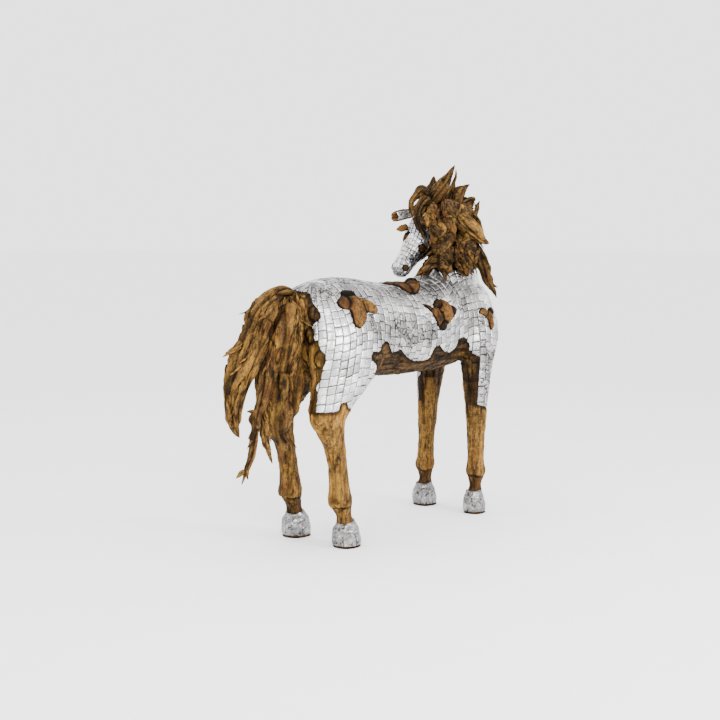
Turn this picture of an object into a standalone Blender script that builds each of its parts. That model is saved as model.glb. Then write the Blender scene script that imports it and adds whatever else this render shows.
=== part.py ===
"""A standing horse, life size, looking back over its left side.

The body is carved teak. Small metal plates are nailed over most of it, wood patches
stand through the plating, and the mane and the tail are gnarled root wood.
Metres, +Z up, the horse faces +X, and it stands on the plane z = 0.
"""

import math
import random

import bmesh
import bpy
from mathutils import Vector
from mathutils.bvhtree import BVHTree

# Driving dimensions, metres
WITHERS_HEIGHT = 1.50
PERCENT = WITHERS_HEIGHT / 100
CARVING_VOXEL = 0.014
CARCASS_TRIANGLES = 1080
# Room between two pieces that touch
FIT = 0.0003
PLATE = 0.004
PATCH = 0.018
MERGE = 0.00005
ROOT_SIDES = 7
GNARL = 0.13
# Percent of the withers height
HOOF_TOP = 9.0
SOLE = 0.9
LEG_SPREAD = 13.3
# The broad faces of the mane and the tail are turned this way
SHOWN_TO = (-0.743, -0.669, 0.0)

# The figure is written in percent of the withers height.
# Trunk stations: x, top, bottom, half width, height of the widest line as a share
TRUNK = (
    (-57.0, 94.5, 80.0, 5.0),
    (-54.0, 96.6, 71.0, 10.5),
    (-47.5, 98.6, 63.5, 15.5),
    (-38.0, 100.6, 61.0, 17.5),
    (-28.0, 100.8, 63.0, 17.5),
    (-14.0, 99.0, 62.3, 17.0),
    (0.0, 97.4, 61.6, 17.3),
    (13.0, 98.2, 61.6, 17.3),
    (25.0, 101.0, 62.0, 16.8),
    (37.0, 101.5, 63.5, 16.5),
    (47.0, 100.5, 66.0, 15.5),
    (52.7, 96.5, 71.0, 13.0),
    (56.4, 90.0, 77.0, 7.5),
)
# Leg stations: height, x, distance from the middle, half length, half width
HIND_LEG = (
    (93.0, -39.0, 9.0, 10.0, 5.0),
    (85.0, -37.5, 11.0, 16.0, 7.5),
    (77.0, -37.5, 12.0, 18.5, 8.3),
    (70.0, -38.5, 12.1, 17.7, 8.4),
    (64.0, -40.8, 12.2, 15.2, 8.0),
    (58.0, -44.6, 12.6, 11.6, 6.8),
    (53.0, -48.2, 13.0, 9.4, 5.6),
    (49.0, -49.8, 13.3, 7.9, 4.9),
    (45.0, -48.8, 13.3, 6.0, 4.4),
    (39.0, -46.6, 13.3, 4.2, 3.8),
    (30.0, -44.5, 13.3, 3.6, 3.5),
    (22.0, -43.4, 13.3, 4.1, 3.6),
    (18.0, -43.2, 13.3, 5.1, 4.1),
    (15.5, -42.5, 13.3, 4.2, 3.6),
    (12.0, -41.3, 13.3, 3.1, 3.0),
    (9.5, -40.6, 13.3, 3.5, 3.4),
    (6.0, -40.2, 13.3, 3.8, 3.7),
)
FORE_LEG = (
    (93.0, 42.0, 8.0, 8.0, 4.0),
    (85.0, 43.0, 10.0, 11.5, 6.5),
    (77.0, 43.5, 11.5, 11.5, 6.8),
    (70.0, 43.0, 12.5, 9.6, 6.2),
    (64.0, 42.0, 13.0, 7.6, 5.5),
    (58.0, 41.6, 13.2, 6.3, 5.0),
    (50.0, 41.3, 13.3, 5.2, 4.6),
    (43.0, 41.0, 13.3, 4.3, 4.1),
    (37.0, 41.0, 13.3, 3.9, 3.8),
    (30.0, 41.0, 13.3, 3.4, 3.3),
    (22.0, 41.0, 13.3, 3.6, 3.4),
    (18.0, 41.0, 13.3, 4.4, 3.9),
    (15.5, 41.0, 13.3, 3.6, 3.4),
    (12.0, 41.0, 13.3, 2.7, 2.7),
    (9.5, 40.8, 13.3, 3.2, 3.1),
    (6.0, 40.6, 13.3, 3.5, 3.4),
)
# The left foreleg leans a little forward as it rises
LEFT_FORE_LEAN = 0.06
LEAN_FROM = 32.0
# Neck stations: x, y, z of the centre, half depth, half width
NECK = (
    (30.0, 0.0, 82.0, 19.0, 13.0),
    (37.0, 0.0, 93.0, 17.0, 12.0),
    (41.5, 0.5, 104.0, 13.5, 9.5),
    (43.0, 3.0, 112.5, 11.0, 7.6),
    (41.5, 6.5, 118.5, 9.0, 6.4),
    (37.0, 8.5, 121.5, 7.5, 5.6),
    (32.5, 8.6, 121.5, 6.0, 4.8),
)
# Head: where it starts, where it points and where its forehead faces
POLL = (32.9, 8.0, 124.0)
HEAD_FORWARD = (-0.633, -0.022, -0.774)
HEAD_DORSAL = (-0.758, -0.183, 0.626)
# Head stations: distance from the poll, above and below the axis, half width
HEAD = (
    (-5.0, 1.0, 2.6, 2.4),
    (-3.0, 3.2, 5.0, 4.2),
    (1.0, 4.3, 7.6, 5.0),
    (6.0, 4.0, 10.0, 5.4),
    (10.5, 2.9, 10.4, 5.6),
    (14.5, 1.8, 8.8, 4.7),
    (18.5, 2.1, 6.4, 3.9),
    (22.5, 3.0, 5.0, 3.6),
    (25.5, 2.9, 4.0, 3.6),
    (27.9, 1.9, 3.3, 3.1),
    (29.4, 0.4, 1.6, 2.0),
)
# Outlines of the plating seen from the side: x, z
PLATED_UPPER = (
    (-60.0, 112.0), (-60.0, 97.0), (-54.5, 94.6), (-52.6, 91.0), (-52.2, 87.0),
    (-54.5, 84.0), (-55.2, 77.0), (-54.2, 73.5), (-54.3, 70.5), (-55.4, 68.6),
    (-33.0, 68.6), (-34.1, 72.6), (-28.3, 73.7), (-25.5, 76.2), (-20.9, 76.8),
    (-18.7, 74.6), (-16.0, 72.0), (-12.0, 73.1), (-8.1, 70.6), (-2.6, 68.2),
    (3.6, 67.5), (7.7, 68.4), (8.2, 71.8), (10.5, 73.0), (12.7, 72.7),
    (16.6, 70.4), (21.8, 70.0), (23.9, 72.3), (25.0, 75.0), (28.9, 75.4),
    (33.3, 72.1), (36.2, 68.6), (62.0, 68.6), (62.0, 98.0), (50.0, 102.5),
    (27.0, 103.5), (22.0, 112.0),
)
PLATED_HAUNCH = (
    (-60.0, 54.2), (-51.8, 52.6), (-49.9, 53.0), (-48.7, 55.6), (-46.0, 55.6),
    (-42.4, 53.2), (-30.0, 58.0), (-30.0, 66.0), (-32.2, 69.6), (-55.0, 69.6),
    (-54.6, 68.0), (-57.2, 64.0),
)
PLATED_FOREARM = (
    (37.6, 46.8), (52.0, 46.8), (60.0, 69.4), (35.4, 69.4), (37.1, 67.0),
    (37.4, 62.0), (36.6, 57.0), (36.7, 52.0),
)
# Outline of the head's plating from its side: along the head, above its line
PLATED_HEAD = (
    (-2.5, 8.0), (34.0, 8.0), (34.0, -6.0), (22.0, -8.0), (15.0, -11.5),
    (6.0, -11.5), (2.0, -6.0), (-1.5, 0.0),
)
# Wooden patches: side they are seen from and outline in percent
PATCHES = (
    (
        "patch_rump_right",
        "right",
        (
            (-45.6, 92.2), (-42.5, 94.2), (-40.1, 96.4), (-35.3, 96.5), (-33.8, 94.0),
            (-29.4, 93.0), (-25.4, 89.4), (-26.9, 87.6), (-31.5, 88.0), (-33.2, 86.0),
            (-36.8, 83.6), (-39.4, 82.5), (-41.6, 84.2), (-41.2, 89.0), (-44.6, 90.0),
        ),
    ),
    (
        "patch_flank_right",
        "right",
        (
            (3.0, 90.2), (7.6, 87.9), (10.0, 90.0), (12.3, 91.5), (16.1, 91.6),
            (20.8, 89.0), (23.5, 87.3), (22.0, 84.9), (16.2, 81.0), (14.0, 78.9),
            (10.6, 79.8), (9.0, 82.6), (7.0, 86.2),
        ),
    ),
    (
        "patch_shoulder_right",
        "right",
        (
            (38.0, 85.4), (41.7, 87.4), (43.8, 85.8), (47.6, 87.2), (48.2, 84.6),
            (46.2, 82.0), (46.3, 79.0), (44.2, 77.8), (43.0, 81.4), (41.0, 83.8),
        ),
    ),
    (
        "patch_withers",
        "above",
        (
            (-7.0, 1.5), (4.0, 3.0), (13.6, 2.0), (15.2, -1.0), (12.9, -5.6),
            (8.4, -9.0), (3.5, -11.2), (-1.0, -10.6), (-3.0, -5.0),
        ),
    ),
    (
        "patch_rump_left",
        "left",
        (
            (-42.0, 91.5), (-37.0, 94.5), (-32.0, 92.6), (-29.0, 88.0), (-33.0, 85.0),
            (-38.0, 83.2), (-41.5, 86.0),
        ),
    ),
    (
        "patch_flank_left",
        "left",
        (
            (-4.0, 86.0), (0.0, 90.0), (6.0, 91.0), (10.0, 87.5), (8.0, 82.0),
            (3.0, 79.0), (-2.5, 81.0),
        ),
    ),
    (
        "patch_shoulder_left",
        "left",
        (
            (37.5, 85.0), (41.0, 88.0), (45.5, 87.0), (46.5, 82.0), (43.5, 78.5),
            (39.5, 80.5),
        ),
    ),
)
# Hooves: name, x, side, half length, half width
HOOVES = (
    ("hind_right", -39.5, -1, 5.2, 4.9),
    ("hind_left", -39.8, 1, 5.5, 5.2),
    ("fore_right", 40.8, -1, 4.6, 4.3),
    ("fore_left", 40.0, 1, 5.0, 4.8),
)
# Root pieces: x, y, z, half width and half thickness of each station, in percent
MANE = (
    (
        "mane_core",
        (
            (40.0, 2.0, 113.0, 7.0, 6.5),
            (39.0, 2.0, 120.5, 8.5, 7.5),
            (38.5, 2.2, 126.0, 8.6, 6.5),
            (38.0, 2.4, 130.0, 6.5, 4.5),
            (37.6, 2.6, 132.5, 3.5, 2.5),
        ),
    ),
    (
        "mane_slab",
        (
            (33.1, -6.9, 126.6, 1.7, 1.7),
            (32.1, -10.8, 123.2, 3.3, 2.1),
            (33.6, -14.4, 119.5, 3.7, 2.1),
            (36.9, -16.1, 116.8, 2.7, 1.7),
            (39.1, -17.5, 115.1, 1.9, 1.2),
            (41.3, -19.0, 113.9, 0.4, 0.4),
        ),
    ),
    (
        "mane_hang_a",
        (
            (30.7, -7.2, 121.2, 2.1, 2.1),
            (27.8, -8.9, 116.2, 2.5, 2.5),
            (25.4, -8.2, 111.2, 3.3, 2.5),
            (25.3, -7.2, 106.2, 3.1, 2.5),
            (26.9, -7.0, 102.9, 2.1, 1.7),
            (28.3, -6.5, 101.2, 0.4, 0.4),
        ),
    ),
    (
        "mane_hang_b",
        (
            (34.6, -10.5, 117.8, 2.1, 2.1),
            (32.2, -12.8, 113.3, 3.3, 2.5),
            (31.9, -13.6, 108.7, 3.9, 2.5),
            (32.9, -12.6, 104.5, 3.3, 2.1),
            (34.6, -12.6, 101.6, 1.7, 1.2),
            (35.7, -12.8, 100.5, 0.4, 0.4),
        ),
    ),
    (
        "mane_hang_low",
        (
            (27.7, -4.8, 112.0, 1.7, 1.7),
            (23.9, -4.6, 107.5, 1.9, 1.7),
            (20.7, -3.0, 104.4, 1.7, 1.4),
            (18.5, -1.6, 102.5, 1.2, 1.0),
            (17.2, -0.1, 101.0, 0.2, 0.2),
        ),
    ),
    (
        "mane_side_b",
        (
            (32.7, -3.5, 131.3, 2.5, 2.1),
            (29.3, -6.7, 126.6, 3.3, 2.5),
            (28.3, -8.5, 122.0, 3.1, 2.5),
            (27.8, -8.9, 117.4, 1.7, 1.4),
        ),
    ),
    (
        "mane_side_a",
        (
            (29.1, 0.6, 130.4, 2.1, 1.7),
            (25.2, -3.1, 126.1, 3.1, 2.1),
            (23.7, -5.4, 121.1, 3.3, 2.5),
            (23.4, -6.1, 116.2, 2.7, 2.1),
            (23.7, -5.4, 112.0, 1.4, 1.2),
        ),
    ),
    (
        "mane_side_c",
        (
            (38.8, -6.2, 130.5, 2.5, 2.1),
            (36.4, -8.6, 126.7, 3.1, 2.5),
            (35.6, -9.7, 122.9, 2.9, 2.1),
            (36.7, -9.9, 119.9, 1.5, 1.3),
        ),
    ),
    (
        "mane_forelock",
        (
            (21.4, 3.2, 125.3, 1.7, 1.3),
            (20.9, 1.7, 122.4, 2.3, 1.5),
            (21.2, 0.4, 119.5, 1.7, 1.0),
            (22.0, -0.5, 116.3, 0.2, 0.2),
        ),
    ),
    (
        "mane_brow_lock",
        (
            (28.2, 2.5, 132.6, 2.5, 1.7),
            (23.7, 2.6, 129.5, 2.7, 1.9),
            (21.8, 2.7, 126.6, 2.3, 1.7),
            (21.9, 2.6, 124.5, 1.3, 1.3),
        ),
    ),
    (
        "mane_arch",
        (
            (29.0, 3.7, 133.5, 1.3, 1.3),
            (26.2, 4.7, 136.1, 1.1, 1.0),
            (23.4, 5.9, 134.4, 1.0, 1.0),
            (21.8, 6.6, 131.7, 0.9, 0.9),
            (21.2, 6.3, 128.7, 0.9, 0.9),
            (21.6, 4.9, 125.8, 1.0, 1.0),
        ),
    ),
    (
        "mane_crown_tall",
        (
            (31.9, 4.4, 129.3, 2.1, 1.7),
            (32.5, 1.7, 133.5, 3.2, 2.1),
            (33.2, -1.0, 138.1, 2.7, 1.7),
            (34.2, -3.1, 141.4, 1.7, 1.3),
            (35.2, -4.2, 144.2, 0.9, 0.8),
            (36.0, -5.1, 146.3, 0.2, 0.2),
        ),
    ),
    (
        "mane_crown_right",
        (
            (40.5, -1.2, 129.4, 2.1, 1.9),
            (41.5, -2.3, 133.2, 2.1, 1.7),
            (42.4, -3.2, 135.8, 1.9, 1.5),
            (44.6, -3.7, 137.3, 1.1, 0.9),
            (46.0, -5.3, 138.8, 0.2, 0.2),
        ),
    ),
    (
        "mane_crown_wide",
        (
            (42.1, -1.0, 127.3, 3.4, 2.6),
            (44.4, -3.5, 130.3, 3.0, 2.1),
            (46.1, -5.4, 132.2, 1.9, 1.5),
            (47.7, -7.2, 132.8, 0.6, 0.6),
        ),
    ),
    (
        "mane_crown_left",
        (
            (33.1, 7.1, 129.0, 2.6, 1.7),
            (35.0, 6.9, 133.3, 2.8, 1.7),
            (36.1, 6.7, 137.1, 2.1, 1.3),
            (36.3, 6.5, 140.1, 1.3, 0.9),
            (36.4, 6.4, 142.2, 0.3, 0.3),
        ),
    ),
    (
        "mane_crown_thin",
        (
            (39.5, 2.9, 130.3, 1.7, 1.5),
            (41.0, 1.3, 134.6, 1.7, 1.3),
            (42.1, 0.1, 139.0, 1.0, 0.9),
            (42.1, -0.9, 142.2, 0.6, 0.5),
            (42.1, -1.0, 144.9, 0.2, 0.2),
        ),
    ),
    (
        "mane_long_right",
        (
            (40.3, -2.9, 122.1, 1.7, 1.7),
            (41.3, -7.0, 117.4, 1.9, 1.7),
            (41.9, -10.7, 112.0, 2.3, 1.9),
            (42.8, -13.7, 106.1, 2.3, 1.7),
            (43.4, -16.4, 101.1, 2.1, 1.7),
            (44.0, -18.0, 96.9, 1.5, 1.3),
            (45.1, -19.3, 94.0, 1.0, 0.8),
            (45.8, -20.0, 91.3, 0.2, 0.2),
        ),
    ),
    (
        "mane_stick",
        (
            (35.5, -13.5, 119.5, 1.0, 1.0),
            (37.9, -14.2, 116.2, 0.8, 0.8),
            (39.7, -15.2, 112.4, 0.6, 0.6),
            (41.3, -16.9, 108.6, 0.5, 0.5),
            (42.5, -18.3, 105.3, 0.2, 0.2),
        ),
    ),
    (
        "mane_curl_high",
        (
            (43.6, -2.6, 120.0, 1.7, 1.3),
            (47.0, -3.4, 121.8, 1.5, 1.3),
            (49.1, -4.8, 124.3, 1.3, 1.1),
            (50.1, -5.9, 127.8, 0.9, 0.8),
            (50.6, -6.4, 130.3, 0.7, 0.6),
            (51.1, -7.0, 131.8, 0.3, 0.3),
        ),
    ),
    (
        "mane_curl_low",
        (
            (41.0, -5.6, 128.9, 1.3, 1.3),
            (42.9, -7.8, 127.8, 1.3, 1.1),
            (44.6, -9.7, 125.5, 1.1, 0.9),
            (45.8, -11.0, 122.1, 0.9, 0.8),
            (46.3, -11.6, 119.6, 0.8, 0.6),
            (46.7, -12.0, 117.9, 0.2, 0.2),
        ),
    ),
    (
        "mane_back_a",
        (
            (37.6, 10.1, 129.9, 2.1, 2.1),
            (41.1, 14.1, 124.0, 3.0, 2.2),
            (43.8, 15.1, 117.1, 3.1, 2.2),
            (45.7, 15.0, 111.0, 2.6, 1.7),
            (46.6, 14.0, 105.7, 0.9, 0.9),
        ),
    ),
    (
        "mane_back_b",
        (
            (44.3, 6.6, 132.6, 2.6, 2.2),
            (50.1, 10.1, 125.8, 3.5, 2.2),
            (52.3, 10.7, 118.0, 3.5, 2.2),
            (53.4, 10.5, 110.1, 3.1, 1.8),
            (53.4, 9.4, 103.9, 0.9, 0.9),
        ),
    ),
    (
        "mane_back_c",
        (
            (48.4, 0.0, 130.0, 2.6, 2.2),
            (52.7, 1.2, 123.1, 3.0, 2.2),
            (54.4, 1.3, 115.3, 3.0, 2.2),
            (54.7, 1.0, 108.4, 2.2, 1.7),
            (53.9, -0.1, 103.2, 0.7, 0.7),
        ),
    ),
)
TAIL = (
    (
        "tail_root",
        (
            (-59.9, -1.3, 89.0, 3.3, 2.6),
            (-64.0, -1.3, 79.7, 3.6, 2.9),
            (-67.5, -1.3, 70.1, 3.4, 2.9),
            (-70.5, -1.3, 61.3, 2.7, 2.2),
            (-72.7, -1.3, 55.4, 2.2, 1.8),
            (-74.4, -1.3, 51.3, 1.8, 1.6),
            (-75.2, -1.3, 46.7, 1.6, 1.4),
            (-76.4, -1.3, 41.9, 1.4, 1.2),
            (-77.8, -1.3, 37.4, 1.2, 1.1),
            (-79.8, -1.3, 33.4, 1.0, 0.9),
            (-82.1, -1.3, 28.1, 0.2, 0.2),
        ),
    ),
    (
        "tail_inner",
        (
            (-58.8, -3.3, 92.6, 2.9, 2.2),
            (-61.0, -4.0, 84.4, 5.5, 3.3),
            (-62.4, -3.3, 73.5, 6.5, 3.6),
            (-63.1, -2.0, 62.5, 6.9, 3.6),
            (-62.7, 0.0, 53.2, 6.2, 3.3),
            (-60.1, 2.7, 45.3, 4.4, 2.6),
            (-56.1, 4.7, 39.9, 2.6, 1.9),
            (-52.7, 5.3, 36.0, 0.2, 0.2),
        ),
    ),
    (
        "tail_middle",
        (
            (-68.2, 0.0, 87.1, 3.3, 2.2),
            (-70.1, 0.7, 79.2, 3.6, 2.5),
            (-71.9, 1.3, 72.1, 3.2, 2.2),
            (-74.0, 2.0, 65.7, 2.2, 1.8),
            (-76.2, 2.0, 59.8, 1.7, 1.4),
            (-78.2, 2.0, 54.6, 1.5, 1.3),
            (-79.8, 2.0, 49.8, 0.9, 0.9),
            (-80.5, 2.0, 47.3, 0.2, 0.2),
        ),
    ),
    (
        "tail_outer",
        (
            (-54.4, 0.0, 96.1, 1.1, 1.1),
            (-60.6, 0.0, 95.7, 2.4, 2.2),
            (-64.9, 1.3, 93.1, 3.6, 2.2),
            (-68.7, 2.7, 88.1, 4.4, 2.4),
            (-71.4, 4.0, 82.0, 4.7, 2.5),
            (-73.6, 5.3, 75.5, 4.5, 2.5),
            (-76.4, 6.0, 68.8, 3.8, 2.2),
            (-79.4, 6.7, 62.2, 2.7, 1.8),
            (-80.4, 6.7, 56.2, 2.2, 1.6),
            (-79.4, 6.7, 50.3, 1.8, 1.4),
            (-77.3, 6.7, 45.8, 1.1, 0.9),
            (-75.8, 6.7, 43.6, 0.2, 0.2),
        ),
    ),
    (
        "tail_spur",
        (
            (-75.6, 5.3, 78.5, 1.3, 1.1),
            (-80.1, 4.7, 76.2, 0.9, 0.8),
            (-83.3, 4.0, 75.0, 0.6, 0.5),
            (-85.6, 4.0, 74.1, 0.2, 0.2),
        ),
    ),
    (
        "tail_spike",
        (
            (-72.0, -1.3, 55.7, 1.3, 1.1),
            (-70.9, -1.0, 50.2, 1.4, 1.3),
            (-69.9, -0.7, 45.0, 1.6, 1.3),
            (-68.2, 0.0, 40.4, 1.1, 0.9),
            (-64.9, 2.0, 36.1, 0.7, 0.6),
            (-63.8, 2.0, 33.0, 0.2, 0.2),
        ),
    ),
)
EAR = (
    (30.3, 12.2, 126.6, 1.3, 0.9),
    (28.0, 13.3, 126.4, 1.8, 0.9),
    (25.5, 14.5, 126.0, 2.0, 0.8),
    (23.0, 15.8, 125.3, 2.0, 0.6),
    (21.5, 16.4, 125.1, 1.3, 0.4),
    (20.9, 16.6, 125.1, 0.3, 0.2),
)
BROW_LEAF = (
    (25.4, 11.7, 121.3, 1.1, 0.8),
    (23.4, 11.9, 120.6, 1.4, 0.8),
    (21.9, 12.6, 120.1, 1.3, 0.7),
    (20.3, 13.3, 119.8, 0.3, 0.3),
)
EYE_WEDGE = (
    (23.9, 9.3, 118.9, 0.4, 0.6),
    (23.6, 10.2, 117.4, 1.1, 0.9),
    (23.3, 11.0, 115.8, 1.1, 0.9),
    (23.1, 11.7, 113.6, 0.3, 0.3),
)
# Studs: name, centre, the way they stand, radius, height
KNOBS = (
    ("eye_near", (24.5, 3.2, 111.8), (-0.17, -0.98, -0.11), 1.7, 1.0),
    ("nostril_near", (15.3, 4.3, 103.9), (-0.48, -0.88, 0.05), 1.35, 0.8),
    ("nostril_far", (15.6, 11.0, 104.4), (-0.74, 0.62, 0.2), 1.2, 0.6),
)


def clear_scene():
    for obj in list(bpy.data.objects):
        bpy.data.objects.remove(obj)


def paint(name, colour, roughness, metallic):
    material = bpy.data.materials.new(name)
    material.use_nodes = True
    shader = material.node_tree.nodes["Principled BSDF"]
    shader.inputs["Base Color"].default_value = (*colour, 1.0)
    shader.inputs["Roughness"].default_value = roughness
    shader.inputs["Metallic"].default_value = metallic
    return material


def link(name, mesh):
    obj = bpy.data.objects.new(name, mesh)
    bpy.context.scene.collection.objects.link(obj)
    return obj


def spline(stations, steps):
    """The stations with steps - 1 more between each two, on a Catmull-Rom curve."""
    rows = [tuple(float(v) for v in station) for station in stations]
    rows = [rows[0]] + rows + [rows[-1]]
    found = []
    for before, first, last, after in zip(rows, rows[1:], rows[2:], rows[3:]):
        for step in range(steps):
            t = step / steps
            found.append(
                tuple(
                    0.5 * (2 * b + (c - a) * t + (2 * a - 5 * b + 4 * c - d) * t**2
                           + (3 * b - a - 3 * c + d) * t**3)
                    for a, b, c, d in zip(before, first, last, after)
                )
            )
    found.append(rows[-1])
    return found


def oval(centre, across, up, half_width, above, below, sides, squareness=2.0):
    """One ring of a loft: a superellipse whose upper and lower halves differ."""
    ring = []
    for side in range(sides):
        angle = 2 * math.pi * side / sides
        c, s = math.cos(angle), math.sin(angle)
        wide = half_width * math.copysign(abs(c) ** (2 / squareness), c)
        high = (above if s > 0 else below) * math.copysign(abs(s) ** (2 / squareness), s)
        ring.append(centre + across * wide + up * high)
    return ring


def loft(name, rings):
    """A closed solid through rings that hold the same number of points."""
    mesh = bpy.data.meshes.new(name)
    bm = bmesh.new()
    made = [[bm.verts.new(point) for point in ring] for ring in rings]
    count = len(made[0])
    for first, second in zip(made, made[1:]):
        for i in range(count):
            j = (i + 1) % count
            bm.faces.new((first[i], first[j], second[j], second[i]))
    bm.faces.new(list(reversed(made[0])))
    bm.faces.new(made[-1])
    bmesh.ops.recalc_face_normals(bm, faces=bm.faces)
    bm.to_mesh(mesh)
    bm.free()
    return link(name, mesh)


def prism(name, outline, plane, low, high):
    """A straight block: the outline in percent, in the named plane, from low to high."""
    place = {
        "xz": lambda u, v, w: Vector((u, w, v)),
        "xy": lambda u, v, w: Vector((u, v, w)),
    }[plane]
    rings = [[place(u, v, w) * PERCENT for u, v in outline] for w in (low, high)]
    return loft(name, rings)


def settle(obj):
    """Replaces the object's mesh by what its modifiers make of it."""
    graph = bpy.context.evaluated_depsgraph_get()
    mesh = bpy.data.meshes.new_from_object(obj.evaluated_get(graph))
    obj.modifiers.clear()
    obj.data = mesh
    return obj


def combine(obj, other, operation):
    step = obj.modifiers.new(operation.lower(), "BOOLEAN")
    step.operation = operation
    step.solver = "EXACT"
    step.use_self = True
    step.object = other
    return settle(obj)


def copy_of(obj, name, grow=0.0):
    """A copy whose surface stands off by grow metres."""
    mesh = obj.data.copy()
    normals = [vertex.normal.copy() for vertex in mesh.vertices]
    for vertex, normal in zip(mesh.vertices, normals):
        vertex.co += normal * grow
    return link(name, mesh)


def largest_body(obj):
    """Keeps the biggest connected body, with short edges closed up."""
    bm = bmesh.new()
    bm.from_mesh(obj.data)
    bmesh.ops.remove_doubles(bm, verts=bm.verts, dist=MERGE)
    bmesh.ops.dissolve_degenerate(bm, edges=bm.edges, dist=MERGE)
    left = set(bm.verts)
    bodies = []
    while left:
        body = {left.pop()}
        edge_of_body = list(body)
        while edge_of_body:
            vertex = edge_of_body.pop()
            for edge in vertex.link_edges:
                other = edge.other_vert(vertex)
                if other in left:
                    left.discard(other)
                    body.add(other)
                    edge_of_body.append(other)
        bodies.append(body)
    bodies.sort(key=len)
    for body in bodies[:-1]:
        bmesh.ops.delete(bm, geom=list(body), context="VERTS")
    bmesh.ops.triangulate(bm, faces=bm.faces)
    bmesh.ops.recalc_face_normals(bm, faces=bm.faces)
    bm.to_mesh(obj.data)
    bm.free()
    return obj


def box_of(obj):
    corners = [obj.data.vertices[i].co for i in range(len(obj.data.vertices))]
    low = Vector([min(c[i] for c in corners) for i in range(3)])
    high = Vector([max(c[i] for c in corners) for i in range(3)])
    return low, high


def near(first, second, reach):
    (low_a, high_a), (low_b, high_b) = first, second
    return all(low_a[i] < high_b[i] + reach and low_b[i] < high_a[i] + reach for i in range(3))


def crosses(first, second):
    """Whether the surfaces of two objects meet anywhere."""
    trees = [
        BVHTree.FromPolygons(
            [vertex.co for vertex in obj.data.vertices],
            [tuple(face.vertices) for face in obj.data.polygons],
        )
        for obj in (first, second)
    ]
    return bool(trees[0].overlap(trees[1]))


def trunk():
    rings = []
    for x, top, bottom, half_width in spline(TRUNK, 3):
        middle = bottom + 0.46 * (top - bottom)
        rings.append(
            oval(
                Vector((x, 0, middle)) * PERCENT,
                Vector((0, 1, 0)),
                Vector((0, 0, 1)),
                half_width * PERCENT,
                (top - middle) * PERCENT,
                (middle - bottom) * PERCENT,
                28,
                2.2,
            )
        )
    return loft("trunk", rings)


def leg(name, stations, side, lean):
    rings = [
        oval(
            Vector((x + max(-0.8, lean * (z - LEAN_FROM)), side * y, z)) * PERCENT,
            Vector((1, 0, 0)),
            Vector((0, 1, 0)),
            half_length * PERCENT,
            half_width * PERCENT,
            half_width * PERCENT,
            18,
            2.2,
        )
        for z, x, y, half_length, half_width in spline(stations, 3)
    ]
    return loft(name, rings)


def head_axes():
    forward = Vector(HEAD_FORWARD).normalized()
    dorsal = Vector(HEAD_DORSAL)
    dorsal = (dorsal - forward * dorsal.dot(forward)).normalized()
    return forward, dorsal, dorsal.cross(forward)


def on_head(along, left, above):
    forward, dorsal, side = head_axes()
    return Vector(POLL) + forward * along + side * left + dorsal * above


def neck():
    stations = spline(NECK, 3)
    centres = [Vector(s[:3]) * PERCENT for s in stations]
    _, head_dorsal, _ = head_axes()
    base_dorsal = Vector((-0.75, 0, 0.66))
    rings = []
    for i, station in enumerate(stations):
        ahead = centres[min(i + 1, len(centres) - 1)]
        behind = centres[max(i - 1, 0)]
        tangent = (ahead - behind).normalized()
        share = i / (len(stations) - 1)
        dorsal = base_dorsal.lerp(head_dorsal, share**1.5)
        dorsal = (dorsal - tangent * dorsal.dot(tangent)).normalized()
        across = dorsal.cross(tangent)
        depth, width = station[3] * PERCENT, station[4] * PERCENT
        rings.append(oval(centres[i], across, dorsal, width, depth, depth, 24, 2.2))
    return loft("neck", rings)


def head():
    forward, dorsal, left = head_axes()
    rings = [
        oval(
            (Vector(POLL) + forward * s) * PERCENT,
            left,
            dorsal,
            width * PERCENT,
            above * PERCENT,
            below * PERCENT,
            24,
            2.3,
        )
        for s, above, below, width in spline(HEAD, 3)
    ]
    return loft("head", rings)


def carcass():
    """Trunk, neck, head and legs as one carved body, level where the hooves begin."""
    parts = [trunk(), neck(), head()]
    parts.append(leg("hind right", HIND_LEG, -1, 0.0))
    parts.append(leg("hind left", HIND_LEG, 1, 0.0))
    parts.append(leg("fore right", FORE_LEG, -1, 0.0))
    parts.append(leg("fore left", FORE_LEG, 1, LEFT_FORE_LEAN))
    joined = bmesh.new()
    for part in parts:
        joined.from_mesh(part.data)
        bpy.data.objects.remove(part)
    mesh = bpy.data.meshes.new("carcass")
    joined.to_mesh(mesh)
    joined.free()
    obj = link("carcass", mesh)
    remesh = obj.modifiers.new("one skin", "REMESH")
    remesh.mode = "VOXEL"
    remesh.voxel_size = CARVING_VOXEL
    smooth = obj.modifiers.new("worn", "SMOOTH")
    smooth.iterations = 6
    smooth.factor = 0.5
    settle(obj)
    coarse = obj.modifiers.new("facets", "DECIMATE")
    coarse.ratio = CARCASS_TRIANGLES / (2 * len(obj.data.polygons))
    settle(obj)
    obj.modifiers.new("triangles", "TRIANGULATE")
    return settle(obj)


def level_ankles(obj):
    reach = [(-80, -40), (80, -40), (80, 40), (-80, 40)]
    ground = prism("ground", reach, "xy", -20, HOOF_TOP + FIT / PERCENT)
    combine(obj, ground, "DIFFERENCE")
    bpy.data.objects.remove(ground)
    return obj


def plated_body_region():
    """Where the body is plated: above the belly edge, and the outsides of the legs."""
    region = prism("region", PLATED_UPPER, "xz", -32, 32)
    for side in (-1, 1):
        for outline, inner in ((PLATED_HAUNCH, 12.4), (PLATED_FOREARM, 13.4)):
            low, high = sorted((side * inner, side * 31))
            more = prism("more", outline, "xz", low, high)
            combine(region, more, "UNION")
            bpy.data.objects.remove(more)
    return region


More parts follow.
